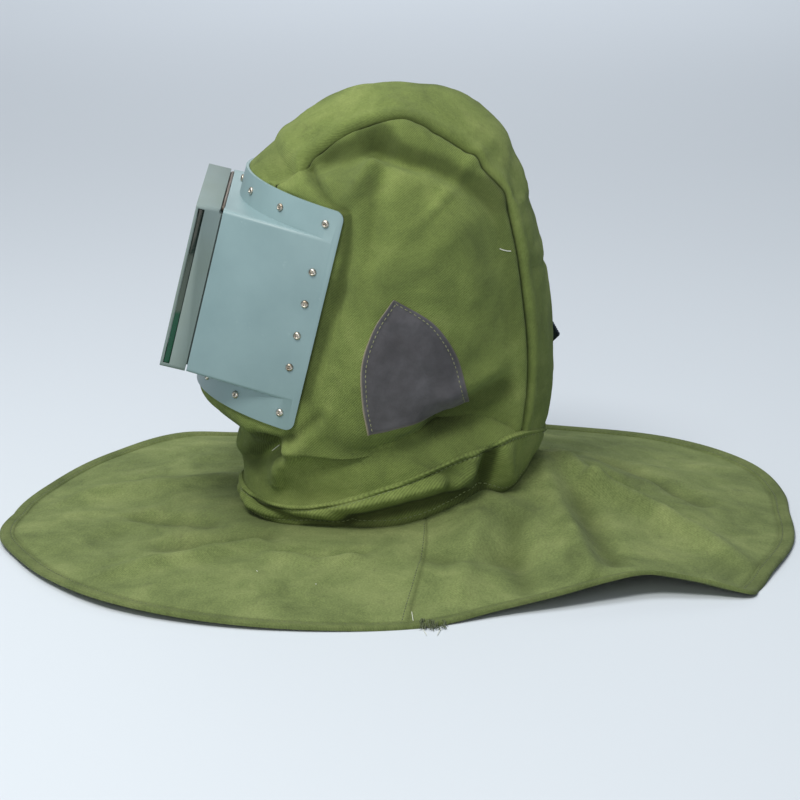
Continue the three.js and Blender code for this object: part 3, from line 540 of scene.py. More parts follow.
def strip_middle(at):
    along = along_table(STRIP_PROFILE, "at", "along", at)
    up = along_table(STRIP_PROFILE, "at", "up", at)
    return Vector((0, along * HOOD_HALF_DEPTH, up * HOOD_HEIGHT))


def strip_outward(at):
    tangent = strip_middle(min(at + 0.01, 1)) - strip_middle(max(at - 0.01, 0))
    return Vector((0, -tangent.z, tangent.y)).normalized()


def strip_point(at, across):
    """Point on the strip, at a share of its half width across it."""
    crown = along_table(STRIP_PROFILE, "at", "crown", at) * STRIP_HALF
    crown += along_table(SEAM_DROP, "at", "drop", at)
    point = strip_middle(at) - strip_outward(at) * crown * across * across
    point.x = across * (STRIP_HALF + STRIP_FLARE * ease(0.06, 0, at))
    return point


# Heights of the neck band as shares of the neck's height, by turn from the front
BAND_HEIGHTS = [
    {"turn": 0, "top": 0.76, "bottom": 0.28},
    {"turn": 35, "top": 0.63, "bottom": 0.24},
    {"turn": 60, "top": 0.76, "bottom": 0.34},
    {"turn": 90, "top": 1.22, "bottom": 0.44},
    {"turn": 115, "top": 1.62, "bottom": 0.74},
    {"turn": 128, "top": 1.72, "bottom": 0.92},
    {"turn": 140, "top": 1.82, "bottom": 0.80},
    {"turn": 160, "top": 1.74, "bottom": 1.00},
    {"turn": 180, "top": 1.56, "bottom": 1.20},
]


def folded_turn(turn):
    wrapped = turn % 360
    return 360 - wrapped if wrapped > 180 else wrapped


def oval_point(turn, half_width, front, back, z):
    reach = -math.cos(math.radians(turn))
    return Vector((half_width * math.sin(math.radians(turn)), reach * (front if reach < 0 else back), z))


def band_top(turn):
    z = along_table(BAND_HEIGHTS, "turn", "top", folded_turn(turn)) * NECK_HEIGHT
    return oval_point(turn, BAND_HALF_WIDTH, BAND_FRONT, BAND_BACK, z)


def strip_end(across):
    """Place along the strip where it meets the neck band."""
    turn = 180 - math.degrees(math.asin(abs(across) * STRIP_HALF / BAND_HALF_WIDTH))
    target = band_top(turn).z + 2 * JOIN_GAP
    low, high = 0.5, 1
    for _ in range(24):
        middle = (low + high) / 2
        if strip_point(middle, across).z > target:
            low = middle
        else:
            high = middle
    return high


def seam_inward(at):
    """Way into the left seam's groove, shared by the strip and the panel."""
    return -(strip_outward(at) * 0.75 + Vector((0.66, 0, 0))).normalized()


SEAM_END = strip_end(1)
STRIP_START_ANGLE = math.degrees(math.asin((STRIP_HALF + STRIP_FLARE + SEAM_GAP / 2) / CANVAS_RADIUS))
CANVAS_OVERLAP = 22
FLANGE_ANGLE = PLATE_HALF_ANGLE + 1.5
INSET_ANGLE = PLATE_HALF_ANGLE - math.degrees(CANVAS_OVERLAP / PLATE_RADIUS)
FLANGE_TOP_CORNER = 0.17
FLANGE_BOTTOM_CORNER = 0.64


def on_plate(radius, angle, u):
    """Point on a cylinder about the plate's axis, at an angle from the front."""
    turn = math.radians(angle)
    return on_visor(radius * math.sin(turn), PLATE_AXIS - radius * math.cos(turn), u)


def flange_point(share, out):
    """Point under the flange, from the canvas's inner edge (0) to just past the flange's edge (1)."""
    limit = mix(INSET_ANGLE, FLANGE_ANGLE, out)
    top = mix(PLATE_TOP - CANVAS_OVERLAP, PLATE_TOP + 1, out)
    bottom = mix(PLATE_BOTTOM - CANVAS_OVERLAP, PLATE_BOTTOM + 1, out)
    if share < FLANGE_TOP_CORNER:
        return on_plate(CANVAS_RADIUS, mix(STRIP_START_ANGLE, limit, share / FLANGE_TOP_CORNER), top)
    if share < FLANGE_BOTTOM_CORNER:
        k = (share - FLANGE_TOP_CORNER) / (FLANGE_BOTTOM_CORNER - FLANGE_TOP_CORNER)
        return on_plate(CANVAS_RADIUS, limit, mix(top, -bottom, k))
    k = (share - FLANGE_BOTTOM_CORNER) / (1 - FLANGE_BOTTOM_CORNER)
    return on_plate(CANVAS_RADIUS, mix(limit, 0, k), -bottom)


PANEL_CORNER = 0.60
PANEL_START = 0.004
CORNER_TURN = 180 - math.degrees(math.asin((STRIP_HALF + SEAM_GAP / 2) / BAND_HALF_WIDTH))


def panel_far_edge(share):
    """Where the cloth meets the strip's seam and then the neck band."""
    if share < PANEL_CORNER:
        at = mix(PANEL_START, SEAM_END, share / PANEL_CORNER)
        return strip_point(at, 1) + Vector((0.5, 0, 0))
    turn = mix(CORNER_TURN, 0, (share - PANEL_CORNER) / (1 - PANEL_CORNER))
    tucked = band_top(turn)
    inward = Vector((-math.sin(math.radians(turn)), math.cos(math.radians(turn)), 0))
    return tucked + inward * BAND_TUCK + Vector((0, 0, -4))


def panel_arrival(share):
    """Direction in which the cloth reaches its far edge."""
    at = mix(PANEL_START, SEAM_END, min(share / PANEL_CORNER, 1))
    over_strip = strip_outward(at) * 0.75 + Vector((-0.66, 0, 0))
    turn = math.radians(mix(CORNER_TURN, 0, max(share - PANEL_CORNER, 0) / (1 - PANEL_CORNER)))
    onto_band = Vector((0.25 * math.sin(turn), -0.45 * math.cos(turn), -0.9))
    return over_strip.lerp(onto_band, ease(PANEL_CORNER - 0.06, PANEL_CORNER + 0.05, share)).normalized()


# How full the cloth is between its two edges, as shares of the distance between them
PANEL_FULLNESS = [
    {"share": 0.00, "front": 0.12, "rear": 0.12},
    {"share": 0.06, "front": 0.18, "rear": 0.18},
    {"share": 0.12, "front": 0.34, "rear": 0.32},
    {"share": 0.22, "front": 0.52, "rear": 0.50},
    {"share": 0.42, "front": 0.50, "rear": 0.52},
    {"share": 0.58, "front": 0.46, "rear": 0.42},
    {"share": 0.72, "front": 0.46, "rear": 0.40},
    {"share": 0.86, "front": 0.32, "rear": 0.34},
    {"share": 1.00, "front": 0.26, "rear": 0.30},
]

# Folds of a panel seen from its side: width and height, and the points back and up, in mm
PANEL_FOLDS = [
    (12, -13, ((-60, 322), (-44, 325), (-29, 330), (-15, 338))),
    (12, -15, ((-19, 337), (-2, 326), (27, 317), (56, 303), (76, 290))),
    (9, 6, ((-21, 318), (-2, 315), (20, 308), (41, 297))),
    (12, 5, ((-13, 349), (16, 337), (42, 326), (64, 310))),
    (5, -9, ((-77, 319), (-70, 306), (-61, 295), (-51, 287), (-42, 279))),
    (6, -14, ((-41, 283), (-41, 264), (-43, 242), (-48, 222), (-54, 205))),
    (10, -15, ((-50, 218), (-58, 197), (-65, 177), (-72, 157), (-78, 136))),
    (6, 7, ((-21, 319), (-30, 308), (-38, 295), (-36, 281))),
    (7, 5, ((-34, 281), (-32, 252), (-37, 223), (-47, 195), (-55, 165), (-62, 137))),
    (9, -7, ((-17, 310), (-22, 292), (-24, 270), (-25, 247))),
    (18, 5, ((-4, 290), (-3, 269), (-14, 228), (-26, 187), (-34, 146))),
    (14, -6, ((77, 289), (85, 258), (90, 217), (92, 176))),
    (16, 5, ((32, 278), (50, 258), (62, 225))),
    (5, -9, ((-65, 116), (-77, 108), (-87, 98))),
    (7, -11, ((-91, 95), (-105, 92), (-118, 93))),
    (6, 6, ((-56, 121), (-63, 104), (-78, 93), (-92, 88))),
    (11, -13, ((-107, 87), (-117, 74), (-122, 60))),
    (7, 6, ((-94, 84), (-101, 70), (-100, 52))),
    (18, 9, ((-84, 66), (-66, 58), (-30, 62), (0, 70))),
    (13, -14, ((32, 107), (50, 115), (66, 124), (82, 132))),
    (10, 6, ((42, 133), (60, 140), (76, 146))),
    (9, -3, ((-13, 89), (6, 94), (26, 103))),
]


def panel_point(share, across):
    start, end = flange_point(share, 1), panel_far_edge(share)
    span = (start - end).length
    leaving = (start - flange_point(share, 0.8)).normalized()
    front = along_table(PANEL_FULLNESS, "share", "front", share) * span
    rear = along_table(PANEL_FULLNESS, "share", "rear", share) * span
    rest = 1 - across
    point = (start * rest**3 + (start + leaving * front) * 3 * rest**2 * across
             + (end - panel_arrival(share) * rear) * 3 * rest * across**2 + end * across**3)
    fade = max(math.sin(math.pi * across), 0) ** 0.7
    height = fold_height(PANEL_FOLDS, point.y, point.z)
    middle = Vector((0, point.y * 0.3, mix(point.z, HOOD_HEIGHT * 0.5, 0.6)))
    outward = (point - middle).normalized()
    crumple = 2.2 * creases(point, 62, 1.3) + 0.75 * creases(point, 23, 4.1)
    to_seam = (1 - across) * span
    on_strip = ease(PANEL_CORNER + 0.02, PANEL_CORNER - 0.01, share)
    groove = 5.0 * math.exp(-((to_seam / 2.4) ** 2)) - 0.8 * math.exp(-(((to_seam - 8) / 4) ** 2))
    at = mix(PANEL_START, SEAM_END, min(share / PANEL_CORNER, 1))
    pucker = 0.5 * math.exp(-((to_seam / 8) ** 2)) * noise.noise(Vector((point.y / 5, point.z / 5, 3)))
    point += seam_inward(at) * groove * on_strip * ease(0, 0.3, across)
    point += outward * ((height + crumple) * fade + pucker * ease(0, 0.3, across))
    under_chin = ease(0.70, 0.92, share) * math.exp(-(((point.z - 93) / 22) ** 2))
    point.y += 21 * under_chin * max(math.sin(math.pi * across), 0)
    return point


PANEL_ROWS = 300
panel_steps = [0.92 * j / 62 for j in range(62)] + [0.92 + 0.08 * j / 22 for j in range(23)]


def panel_grid(side):
    grid = []
    for i in range(PANEL_ROWS + 1):
        share = i / PANEL_ROWS
        row = [flange_point(share, k / 4) for k in range(4)]
        row += [panel_point(share, across) for across in panel_steps]
        chin = ease(1, PANEL_CORNER, share)
        for p in row:
            p.x = max(p.x, 0.2)
            if share > FLANGE_BOTTOM_CORNER and p.x < 8:
                p.y += 2.2 * math.exp(-((p.x / 2.2) ** 2)) * (1 - chin)
            if i == PANEL_ROWS:
                p.x = 0.2
        grid.append([Vector((p.x * side, p.y, p.z)) for p in row])
    return grid


def valley_dye_and_shade(folds, a, b):
    """How dark a fold's valley is drawn: painted shade, and partly dye that has stayed darker there than on the worn
    ridges.
    """
    return 0.52 * ease(-1, -12, fold_height(folds, a, b))


def seam_and_valley_shade(grid, folds):
    """Painted shade in the seams' grooves, at the last points of each row, and in the valleys, where it is partly
    dye.
    """
    marks = []
    for row in grid:
        to_seam = [0]
        for a, b in zip(row[::-1], row[-2::-1]):
            to_seam.append(to_seam[-1] + (a - b).length)
        marks.append([
            max(0.9 * math.exp(-((off / 1.9) ** 2)), valley_dye_and_shade(folds, p.y, p.z))
            for off, p in zip(reversed(to_seam), row)])
    return marks


def panel_flat(point):
    """Place of a panel's point on its flat cut, as the cloth turns in at the front, back and top."""
    turned_in = 0.4 * (abs(point.x) - BAND_HALF_WIDTH)
    return point.y - turned_in * math.tanh(point.y / 60), point.z - turned_in


side_panels = {}
for side, side_name in ((1, "left"), (-1, "right")):
    grid = panel_grid(side)
    # Its marks are painted shade in the groove of its seam and in the folds' valleys.
    panel = cloth_piece(
        f"canvas_panel_{side_name}", grid, CANVAS_WALL, marks=seam_and_valley_shade(grid, PANEL_FOLDS), flat=panel_flat)
    finish_piece(panel, "hood", canvas_cloth)
    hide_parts(f"side_panel_{side_name}")
    side_panels[side] = panel

# Centre strip: the same twill, a band from under the flange's top over the crown and down
# the back, sewn along both edges to the side panels.
STRIP_COLUMNS = 44
STRIP_ROWS = 190
STRIP_FOLDS = [
    (6, -3.5, ((96, 330), (94, 288))),
    (5, -2, ((106, 276), (112, 244))),
    (4, -2, ((108, 225), (130, 221))),
    (8, -5, ((-104, 316), (-84, 303))),
    (7, 2.5, ((-92, 326), (-74, 316))),
]


def strip_surface(share, across):
    at = share * (strip_end(across) + 0.012)
    point = strip_point(at, across)
    to_seam = (1 - abs(across)) * STRIP_HALF
    height = fold_height(STRIP_FOLDS, point.y, point.z)
    crumple = (1.5 * creases(point, 58, 7.7) + 0.6 * creases(point, 20, 2.2)) * ease(0, 0.06, share)
    groove = 5.0 * math.exp(-((to_seam / 1.8) ** 2)) - 1.2 * math.exp(-(((to_seam - 6) / 3.5) ** 2))
    inward = seam_inward(at)
    inward.x = math.copysign(inward.x, -across)
    point += inward * groove * ease(0, 0.03, share)
    tuck = -BAND_TUCK * ease(0.965, 0.985, share)
    pucker = 0.45 * math.exp(-((to_seam / 8) ** 2)) * noise.noise(Vector((point.y / 5, point.z / 5, 8)))
    return point + strip_outward(at) * ((height + crumple) * ease(0, 8, to_seam) + tuck + pucker)


strip_steps = [math.sin(math.pi / 2 * (2 * j / STRIP_COLUMNS - 1)) for j in range(STRIP_COLUMNS + 1)]
strip_grid = []
start_angle = math.degrees(math.asin((STRIP_HALF + STRIP_FLARE) / CANVAS_RADIUS))
for k in range(4):
    u = mix(PLATE_TOP - CANVAS_OVERLAP, PLATE_TOP + 1, k / 3)
    strip_grid.append([on_plate(CANVAS_RADIUS, across * start_angle, u) for across in strip_steps])
for i in range(1, STRIP_ROWS + 1):
    strip_grid.append([strip_surface(i / STRIP_ROWS, across) for across in strip_steps])
# Painted shade in the grooves of both seams and in the valleys.
strip_marks = [[max(pair) for pair in zip(row, row[::-1])] for row in seam_and_valley_shade(strip_grid, STRIP_FOLDS)]
strip = cloth_piece("canvas_centre_strip", strip_grid, CANVAS_WALL, marks=strip_marks)
finish_piece(strip, "hood", canvas_cloth)
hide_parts("centre_strip")

# Rivets: nickel-plated tubular rivets, seven along the top of the flange, seven along its
# bottom and four up each side, each clinched on the canvas inside.
RIVET_HEAD = 3.3
RIVET_RISE = 1.9
RIVET_PITCH_ANGLE = 23.5
RIVET_EDGE_INSET = 12.5
SIDE_RIVET_PITCH = 26.8
SIDE_RIVET_BACK = 80
SIDE_RIVET_DROP = 0.6


# Nickel plate: bright, with dull, warm patches of tarnish spread at random
def nickel_plate():
    material, tree, shader = new_material("nickel plate, dulled")
    place = add_node(tree, "ShaderNodeTexCoord").outputs["Object"]
    tarnish = add_node(tree, "ShaderNodeTexNoise", {"Scale": 260, "Detail": 4}, {"Vector": place})
    tone = add_node(tree, "ShaderNodeValToRGB", links={"Fac": tarnish.outputs["Fac"]})
    set_ramp(tone, [(0.35, colour("#8d8273")), (0.62, colour("#d8d3c8"))])
    tree.links.new(tone.outputs["Color"], shader.inputs["Base Color"])
    rough = add_node(
        tree, "ShaderNodeMapRange", {"To Min": 0.45, "To Max": 0.22}, {"Value": tarnish.outputs["Fac"]})
    tree.links.new(rough.outputs["Result"], shader.inputs["Roughness"])
    shader.inputs["Metallic"].default_value = 1
    return material


nickel = nickel_plate()


def rivet_profile(grip):
    """Half section of a rivet, radius and height above the plastic, in mm."""
    tail = -grip - 0.1
    return [
        (0, tail - 0.8), (1.6, tail - 0.9), (2.7, tail - 0.75), (3.0, tail - 0.35), (2.8, tail), (1.5, tail),
        (1.5, 0.05), (RIVET_HEAD - 0.1, 0.05), (RIVET_HEAD, 0.3), (RIVET_HEAD - 0.15, 0.75),
        (2.75, 1.35), (2.2, 1.75), (1.75, RIVET_RISE), (1.35, 1.8), (1.05, 1.35), (0.9, 0.5), (0, 0.4)]


def add_rivet(name, place, outward, grip):
    """Spins a rivet's half section into its place on the visor."""
    bpy.ops.object.select_all(action="DESELECT")
    mesh = bpy.data.meshes.new(name)
    profile = rivet_profile(grip)
    mesh.from_pydata(
        [(r * MM, 0, h * MM) for r, h in profile], [(i, i + 1) for i in range(len(profile) - 1)], [])
    rivet = bpy.data.objects.new(name, mesh)
    bpy.context.scene.collection.objects.link(rivet)
    rivet.select_set(True)
    bpy.context.view_layer.objects.active = rivet
    bpy.ops.object.mode_set(mode="EDIT")
    bpy.ops.mesh.select_all(action="SELECT")
    bpy.ops.mesh.spin(steps=28, angle=2 * math.pi, center=(0, 0, 0), axis=(0, 0, 1))
    bpy.ops.mesh.select_all(action="SELECT")
    bpy.ops.mesh.remove_doubles(threshold=0.00001)
    bpy.ops.mesh.normals_make_consistent(inside=False)
    bpy.ops.object.mode_set(mode="OBJECT")
    turn = outward.to_track_quat("Z", "Y").to_matrix().to_4x4()
    rivet.data.transform(visor_matrix @ Matrix.Translation(place * MM) @ turn)
    smooth(rivet, 50)
    finish_piece(rivet, "hood", nickel)
    return rivet


canvas_inner = CANVAS_RADIUS - CANVAS_WALL / 2
rows_of_rivets = []
for i in range(-3, 4):
    turn = math.radians(i * RIVET_PITCH_ANGLE)
    outward = Vector((math.sin(turn), -math.cos(turn), 0))
    for row_name, u in (("top", PLATE_TOP - RIVET_EDGE_INSET), ("bottom", RIVET_EDGE_INSET - PLATE_BOTTOM)):
        place = Vector((0, PLATE_AXIS, u)) + outward * PLATE_RADIUS
        rows_of_rivets.append((f"{row_name}_{i + 4}", place, outward, PLATE_RADIUS - canvas_inner))
flare = math.atan2((HOUSING_REAR - HOUSING_FRONT) / 2, HOUSING_DEPTH)
for side, row_name in ((1, "left"), (-1, "right")):
    outward = Vector((side * math.cos(flare), -math.sin(flare), 0))
    x = side * (HOUSING_FRONT / 2 + SIDE_RIVET_BACK * math.tan(flare))
    from_axis = Vector((x, SIDE_RIVET_BACK - PLATE_AXIS, 0))
    slope = from_axis.dot(outward)
    grip = slope - math.sqrt(slope**2 - from_axis.length_squared + canvas_inner**2)
    for i in range(4):
        place = Vector((x, SIDE_RIVET_BACK, (1.5 - i) * SIDE_RIVET_PITCH - SIDE_RIVET_DROP))
        rows_of_rivets.append((f"{row_name}_{i + 1}", place, outward, grip))
for row_name, place, outward, grip in rows_of_rivets:
    rivet = add_rivet(f"tubular_rivet_{row_name}", place, outward, grip)
    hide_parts(f"rivet_{row_name}")

# Neck band: a low collar of the same twill between the hood and the cape. Its upper edge is
# turned over the panels' edge and stitched, which makes a raised ridge.
NECK_HALF_WIDTH = 94
NECK_FRONT = 129
NECK_BACK = 111
BAND_BULGE = 5
BAND_SECTIONS = 320
BAND_ROWS = 40

# Folds of the collar, seen from its side: an overhanging tuck in front and a deep one behind
BAND_FOLDS = [
    (5, -8, ((-118, 29), (-94, 22), (-67, 20), (-45, 21))),
    (7, -14, ((-40, 26), (-16, 31), (7, 37), (40, 44), (52, 46))),
    (6, 8, ((-50, 40), (-16, 47), (7, 53), (32, 59))),
    (7, -13, ((75, 80), (70, 62), (66, 44))),
    (6, 6, ((84, 80), (88, 62), (90, 48))),
    (6, 6, ((58, 78), (55, 64), (48, 55))),
    (8, 3, ((-110, 44), (-70, 34))),
]


def band_bottom(turn):
    z = along_table(BAND_HEIGHTS, "turn", "bottom", folded_turn(turn)) * NECK_HEIGHT
    return oval_point(turn, NECK_HALF_WIDTH, NECK_FRONT, NECK_BACK, z)


def band_point(turn, down):
    outward = Vector((math.sin(math.radians(turn)), -math.cos(math.radians(turn)), 0))
    top, bottom = band_top(turn), band_bottom(turn)
    height = (top - bottom).length
    fullness = BAND_BULGE * (0.6 + 0.4 * math.cos(math.radians(turn)))
    point = top.lerp(bottom, down) + outward * fullness * math.sin(math.pi * down) ** 2
    below = down * height
    ridge = 1.2 * math.exp(-(((below - 1.2) / 0.9) ** 2)) - 0.9 * math.exp(-(((below - 4.2) / 1.3) ** 2))
    ridge -= 1.6 * ease(1.2, -0.6, below)
    lower = -0.8 * math.exp(-(((height - below - 5) / 1.8) ** 2))
    around = Vector((math.sin(math.radians(turn)), math.cos(math.radians(turn)), 0)) * 14
    gathers = noise.noise(around + Vector((0, 0, down * 0.9)))
    height = fold_height(BAND_FOLDS, point.y, point.z)
    crumple = 2.4 * creases(point, 34, 5.5) + 1.3 * gathers + height
    return point + outward * (ridge + lower + crumple * max(math.sin(math.pi * down), 0) ** 0.55)


band_steps = [-0.02 + 0.2 * j / 14 for j in range(14)]
band_steps += [0.18 + 0.82 * j / (BAND_ROWS - 14) for j in range(BAND_ROWS - 13)]
band_grid = []
for i in range(BAND_SECTIONS):
    turn = 360 * i / BAND_SECTIONS
    band_grid.append([band_point(turn, down) for down in band_steps])
# Painted shade on the collar: in the folds' valleys, partly dye, towards its lower edge where it tucks in, and in a
# thin line under the ridge of its top seam.
band_marks = [[
    max(1.3 * valley_dye_and_shade(BAND_FOLDS, p.y, p.z), 0.6 * ease(0.86, 1, down), 0.55 * math.exp(-(((down - 0.085) / 0.02) ** 2)))
    for down, p in zip(band_steps, row)] for row in band_grid]
band = cloth_piece(
    "canvas_neck_band", band_grid, CANVAS_WALL, ring=True, marks=band_marks,
    flat=lambda p: (100 * math.atan2(p.x, -p.y), p.z))
finish_piece(band, "hood", canvas_cloth)
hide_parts("neck_band")

# Cape: two halves of a lighter, more washed piece of twill, front and back, sewn to the neck
# band and to each other at the shoulders. They lie spread on the floor, with a doubled hem.
CAPE_HALF_WIDTH = 283
CAPE_HALF_LENGTH = 327
CAPE_LIFT = 12
HEM_WIDTH = 11
HEM_THICKNESS = 3.6
CAPE_SEAM_TURN = 93
HEM_SHARE = 1 - HEM_WIDTH / (CAPE_HALF_WIDTH - NECK_HALF_WIDTH)
CAPE_OUTLINE = [
    {"turn": 0, "reach": 1.00, "lift": 0},
    {"turn": 14, "reach": 1.04, "lift": 0.3},
    {"turn": 25, "reach": 1.045, "lift": 0.3},
    {"turn": 38, "reach": 1.07, "lift": 0.4},
    {"turn": 52, "reach": 1.10, "lift": 0.5},
    {"turn": 65, "reach": 1.09, "lift": 0.3},
    {"turn": 80, "reach": 1.055, "lift": 0.1},
    {"turn": 93, "reach": 1.01, "lift": 0},
    {"turn": 104, "reach": 0.945, "lift": 0.4},
    {"turn": 114, "reach": 0.93, "lift": 0.9},
    {"turn": 123, "reach": 0.935, "lift": 1.4},
    {"turn": 129, "reach": 0.96, "lift": 1.5},
    {"turn": 134, "reach": 1.05, "lift": 1.0},
    {"turn": 137.5, "reach": 1.13, "lift": 0.3},
    {"turn": 141, "reach": 1.11, "lift": 0},
    {"turn": 150, "reach": 1.06, "lift": 0.2},
    {"turn": 163, "reach": 1.03, "lift": 0.1},
    {"turn": 180, "reach": 1.01, "lift": 0},
    {"turn": 192, "reach": 1.04, "lift": 0},
    {"turn": 208, "reach": 1.085, "lift": 0.2},
    {"turn": 225, "reach": 1.09, "lift": 0.3},
    {"turn": 245, "reach": 1.07, "lift": 0},
    {"turn": 270, "reach": 1.02, "lift": 0.2},
    {"turn": 295, "reach": 0.985, "lift": 0},
    {"turn": 307, "reach": 1.03, "lift": 0.4},
    {"turn": 322, "reach": 1.01, "lift": 0.2},
    {"turn": 342, "reach": 0.985, "lift": 0},
    {"turn": 360, "reach": 1.00, "lift": 0},
]

# Folds of the cape seen from above: width and height, and the points across and back, in mm
CAPE_FOLDS = [
    (10, 12, ((20, 119), (90, 131), (159, 142), (210, 151))),
    (12, -9, ((30, 148), (80, 152), (134, 161), (180, 170))),
    (11, 11, ((-20, 133), (8, 146), (35, 160))),
    (13, 12, ((35, 162), (49, 188), (79, 218), (107, 248), (146, 277))),
    (6, -6, ((-11, 160), (10, 175), (33, 192))),
    (15, -8, ((-69, 182), (-27, 218), (8, 253))),
    (14, -7, ((40, -215), (50, -185), (62, -160))),
    (12, 8, ((185, -230), (172, -205), (156, -168), (125, -118))),
    (16, -7, ((120, -190), (108, -140), (98, -110))),
    (9, 5, ((155, -105), (178, -71), (172, -40))),
    (9, -5, ((140, -90), (160, -62), (150, -30))),
    (14, -6, ((165, 24), (180, 55), (165, 78))),
    (12, 8, ((110, 62), (160, 58), (230, 46))),
    (12, -7, ((110, 92), (153, 92), (225, 98))),
    (18, 7, ((-57, -150), (-28, -268))),
    (22, 7, ((-119, 65), (-226, 118))),
    (22, 7, ((-124, -59), (-232, -85))),
    (16, -5, ((-130, 10), (-220, 20))),
]


def cape_point(turn, out):
    to_left = math.exp(-(((turn % 360 - CAPE_SEAM_TURN) / 30) ** 2))
    to_right = math.exp(-(((turn % 360 - 360 + CAPE_SEAM_TURN) / 30) ** 2))
    turn += (10 * (1 - out) ** 1.5 - 2) * (to_left - to_right)
    outward = Vector((math.sin(math.radians(turn)), -math.cos(math.radians(turn)), 0))
    neck = band_bottom(turn) - outward * CANVAS_WALL / 2
    neck.z -= CANVAS_WALL + JOIN_GAP - 0.7
    reach = along_table(CAPE_OUTLINE, "turn", "reach", turn % 360)
    lift = max(along_table(CAPE_OUTLINE, "turn", "lift", turn % 360), 0) * CAPE_LIFT
    hem = Vector((CAPE_HALF_WIDTH * reach * outward.x, CAPE_HALF_LENGTH * reach * outward.y, 0))
    point = neck.lerp(hem, out)
    folds = fold_height(CAPE_FOLDS, point.x, point.y)
    to_hem = min(out / HEM_SHARE, 1)
    fade = max(math.sin(math.pi * to_hem), 0) ** 0.6
    slack = 0.16 * NECK_HEIGHT * math.sin(math.pi * to_hem) ** 0.8
    crumple = 2.6 * creases(Vector((point.x, point.y, 0)), 74, 3.4)
    crumple += 1.0 * creases(Vector((point.x, point.y, 0)), 27, 6.1)
    point.z = (neck.z * (1 - to_hem) ** 1.7 + lift * out**2.2 + slack + (folds + crumple) * fade)
    return point


CAPE_SECTIONS = 250
cape_steps = [HEM_SHARE * j / 50 for j in range(50)]
cape_steps += [HEM_SHARE + (1 - HEM_SHARE) * j / 12 for j in range(13)]


def hem_wall(out):
    """Thickness of the cape: one layer, then the doubled hem with its stitch line and soft edge."""
    in_hem = (out - HEM_SHARE) / (1 - HEM_SHARE)
    if in_hem < 0:
        return CANVAS_WALL
    rise = mix(CANVAS_WALL, HEM_THICKNESS, ease(0, 0.12, in_hem))
    groove = 0.9 * math.exp(-(((in_hem - 0.24) / 0.08) ** 2))
    roll = ease(0.82, 1.04, in_hem) * HEM_THICKNESS * 0.55
    return rise - groove - roll


def cape_half(name, from_turn, to_turn):
    top, bottom, marks = [], [], []
    for i in range(CAPE_SECTIONS + 1):
        turn = mix(from_turn, to_turn, i / CAPE_SECTIONS)
        points = [cape_point(turn, out) for out in cape_steps]
        seam = min(i, CAPE_SECTIONS - i) * abs(to_turn - from_turn) / CAPE_SECTIONS
        under, over = [], []
        for p, out in zip(points, cape_steps):
            floor = max(p.z, 0)
            to_seam = math.radians(seam) * math.hypot(p.x, p.y)
            wall = hem_wall(out) - 0.7 * math.exp(-((to_seam / 1.8) ** 2))
            under.append(Vector((p.x, p.y, floor + 0.05)))
            over.append(Vector((p.x, p.y, floor + 0.05 + wall)))
        top.append(over)
        bottom.append(under)
        # The hem's darker tone, painted shade in the folds' valleys, partly dye, and a darker line along the seam.
        at_seam = 0.4 if seam < 0.35 else 0
        marks.append([
            max(0.3 if out >= HEM_SHARE else valley_dye_and_shade(CAPE_FOLDS, p.x, p.y), at_seam)
            for p, out in zip(points, cape_steps)])
    return wall_piece(name, top, bottom, marks=marks, flat=lambda p: (p.x, p.y))


# The last colour is the hem's darker tone, and painted shade in the folds' valleys.
cape_cloth = cotton_twill(
    "heavy cotton twill, faded green", ("#5a673d", "#6f7d4c", "#838f5b"), "#4c5238", "#303818", 0.12)
capes = {}
for half_name, from_turn, to_turn in (
        ("front", -CAPE_SEAM_TURN, CAPE_SEAM_TURN), ("back", CAPE_SEAM_TURN, 360 - CAPE_SEAM_TURN)):
    cape = cape_half(f"canvas_cape_{half_name}", from_turn, to_turn)
    finish_piece(cape, "hood", cape_cloth)
    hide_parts(f"cape_{half_name}")
    capes[half_name] = cape


# Stitching: spun polyester thread, 0.8 mm thick, about four millimetres a stitch, pulled
# into the cloth along the seams and hems.
STITCH_PITCH = 4.2


def surface_of(piece):
    return BVHTree.FromPolygons(
        [v.co for v in piece.data.vertices], [p.vertices for p in piece.data.polygons])


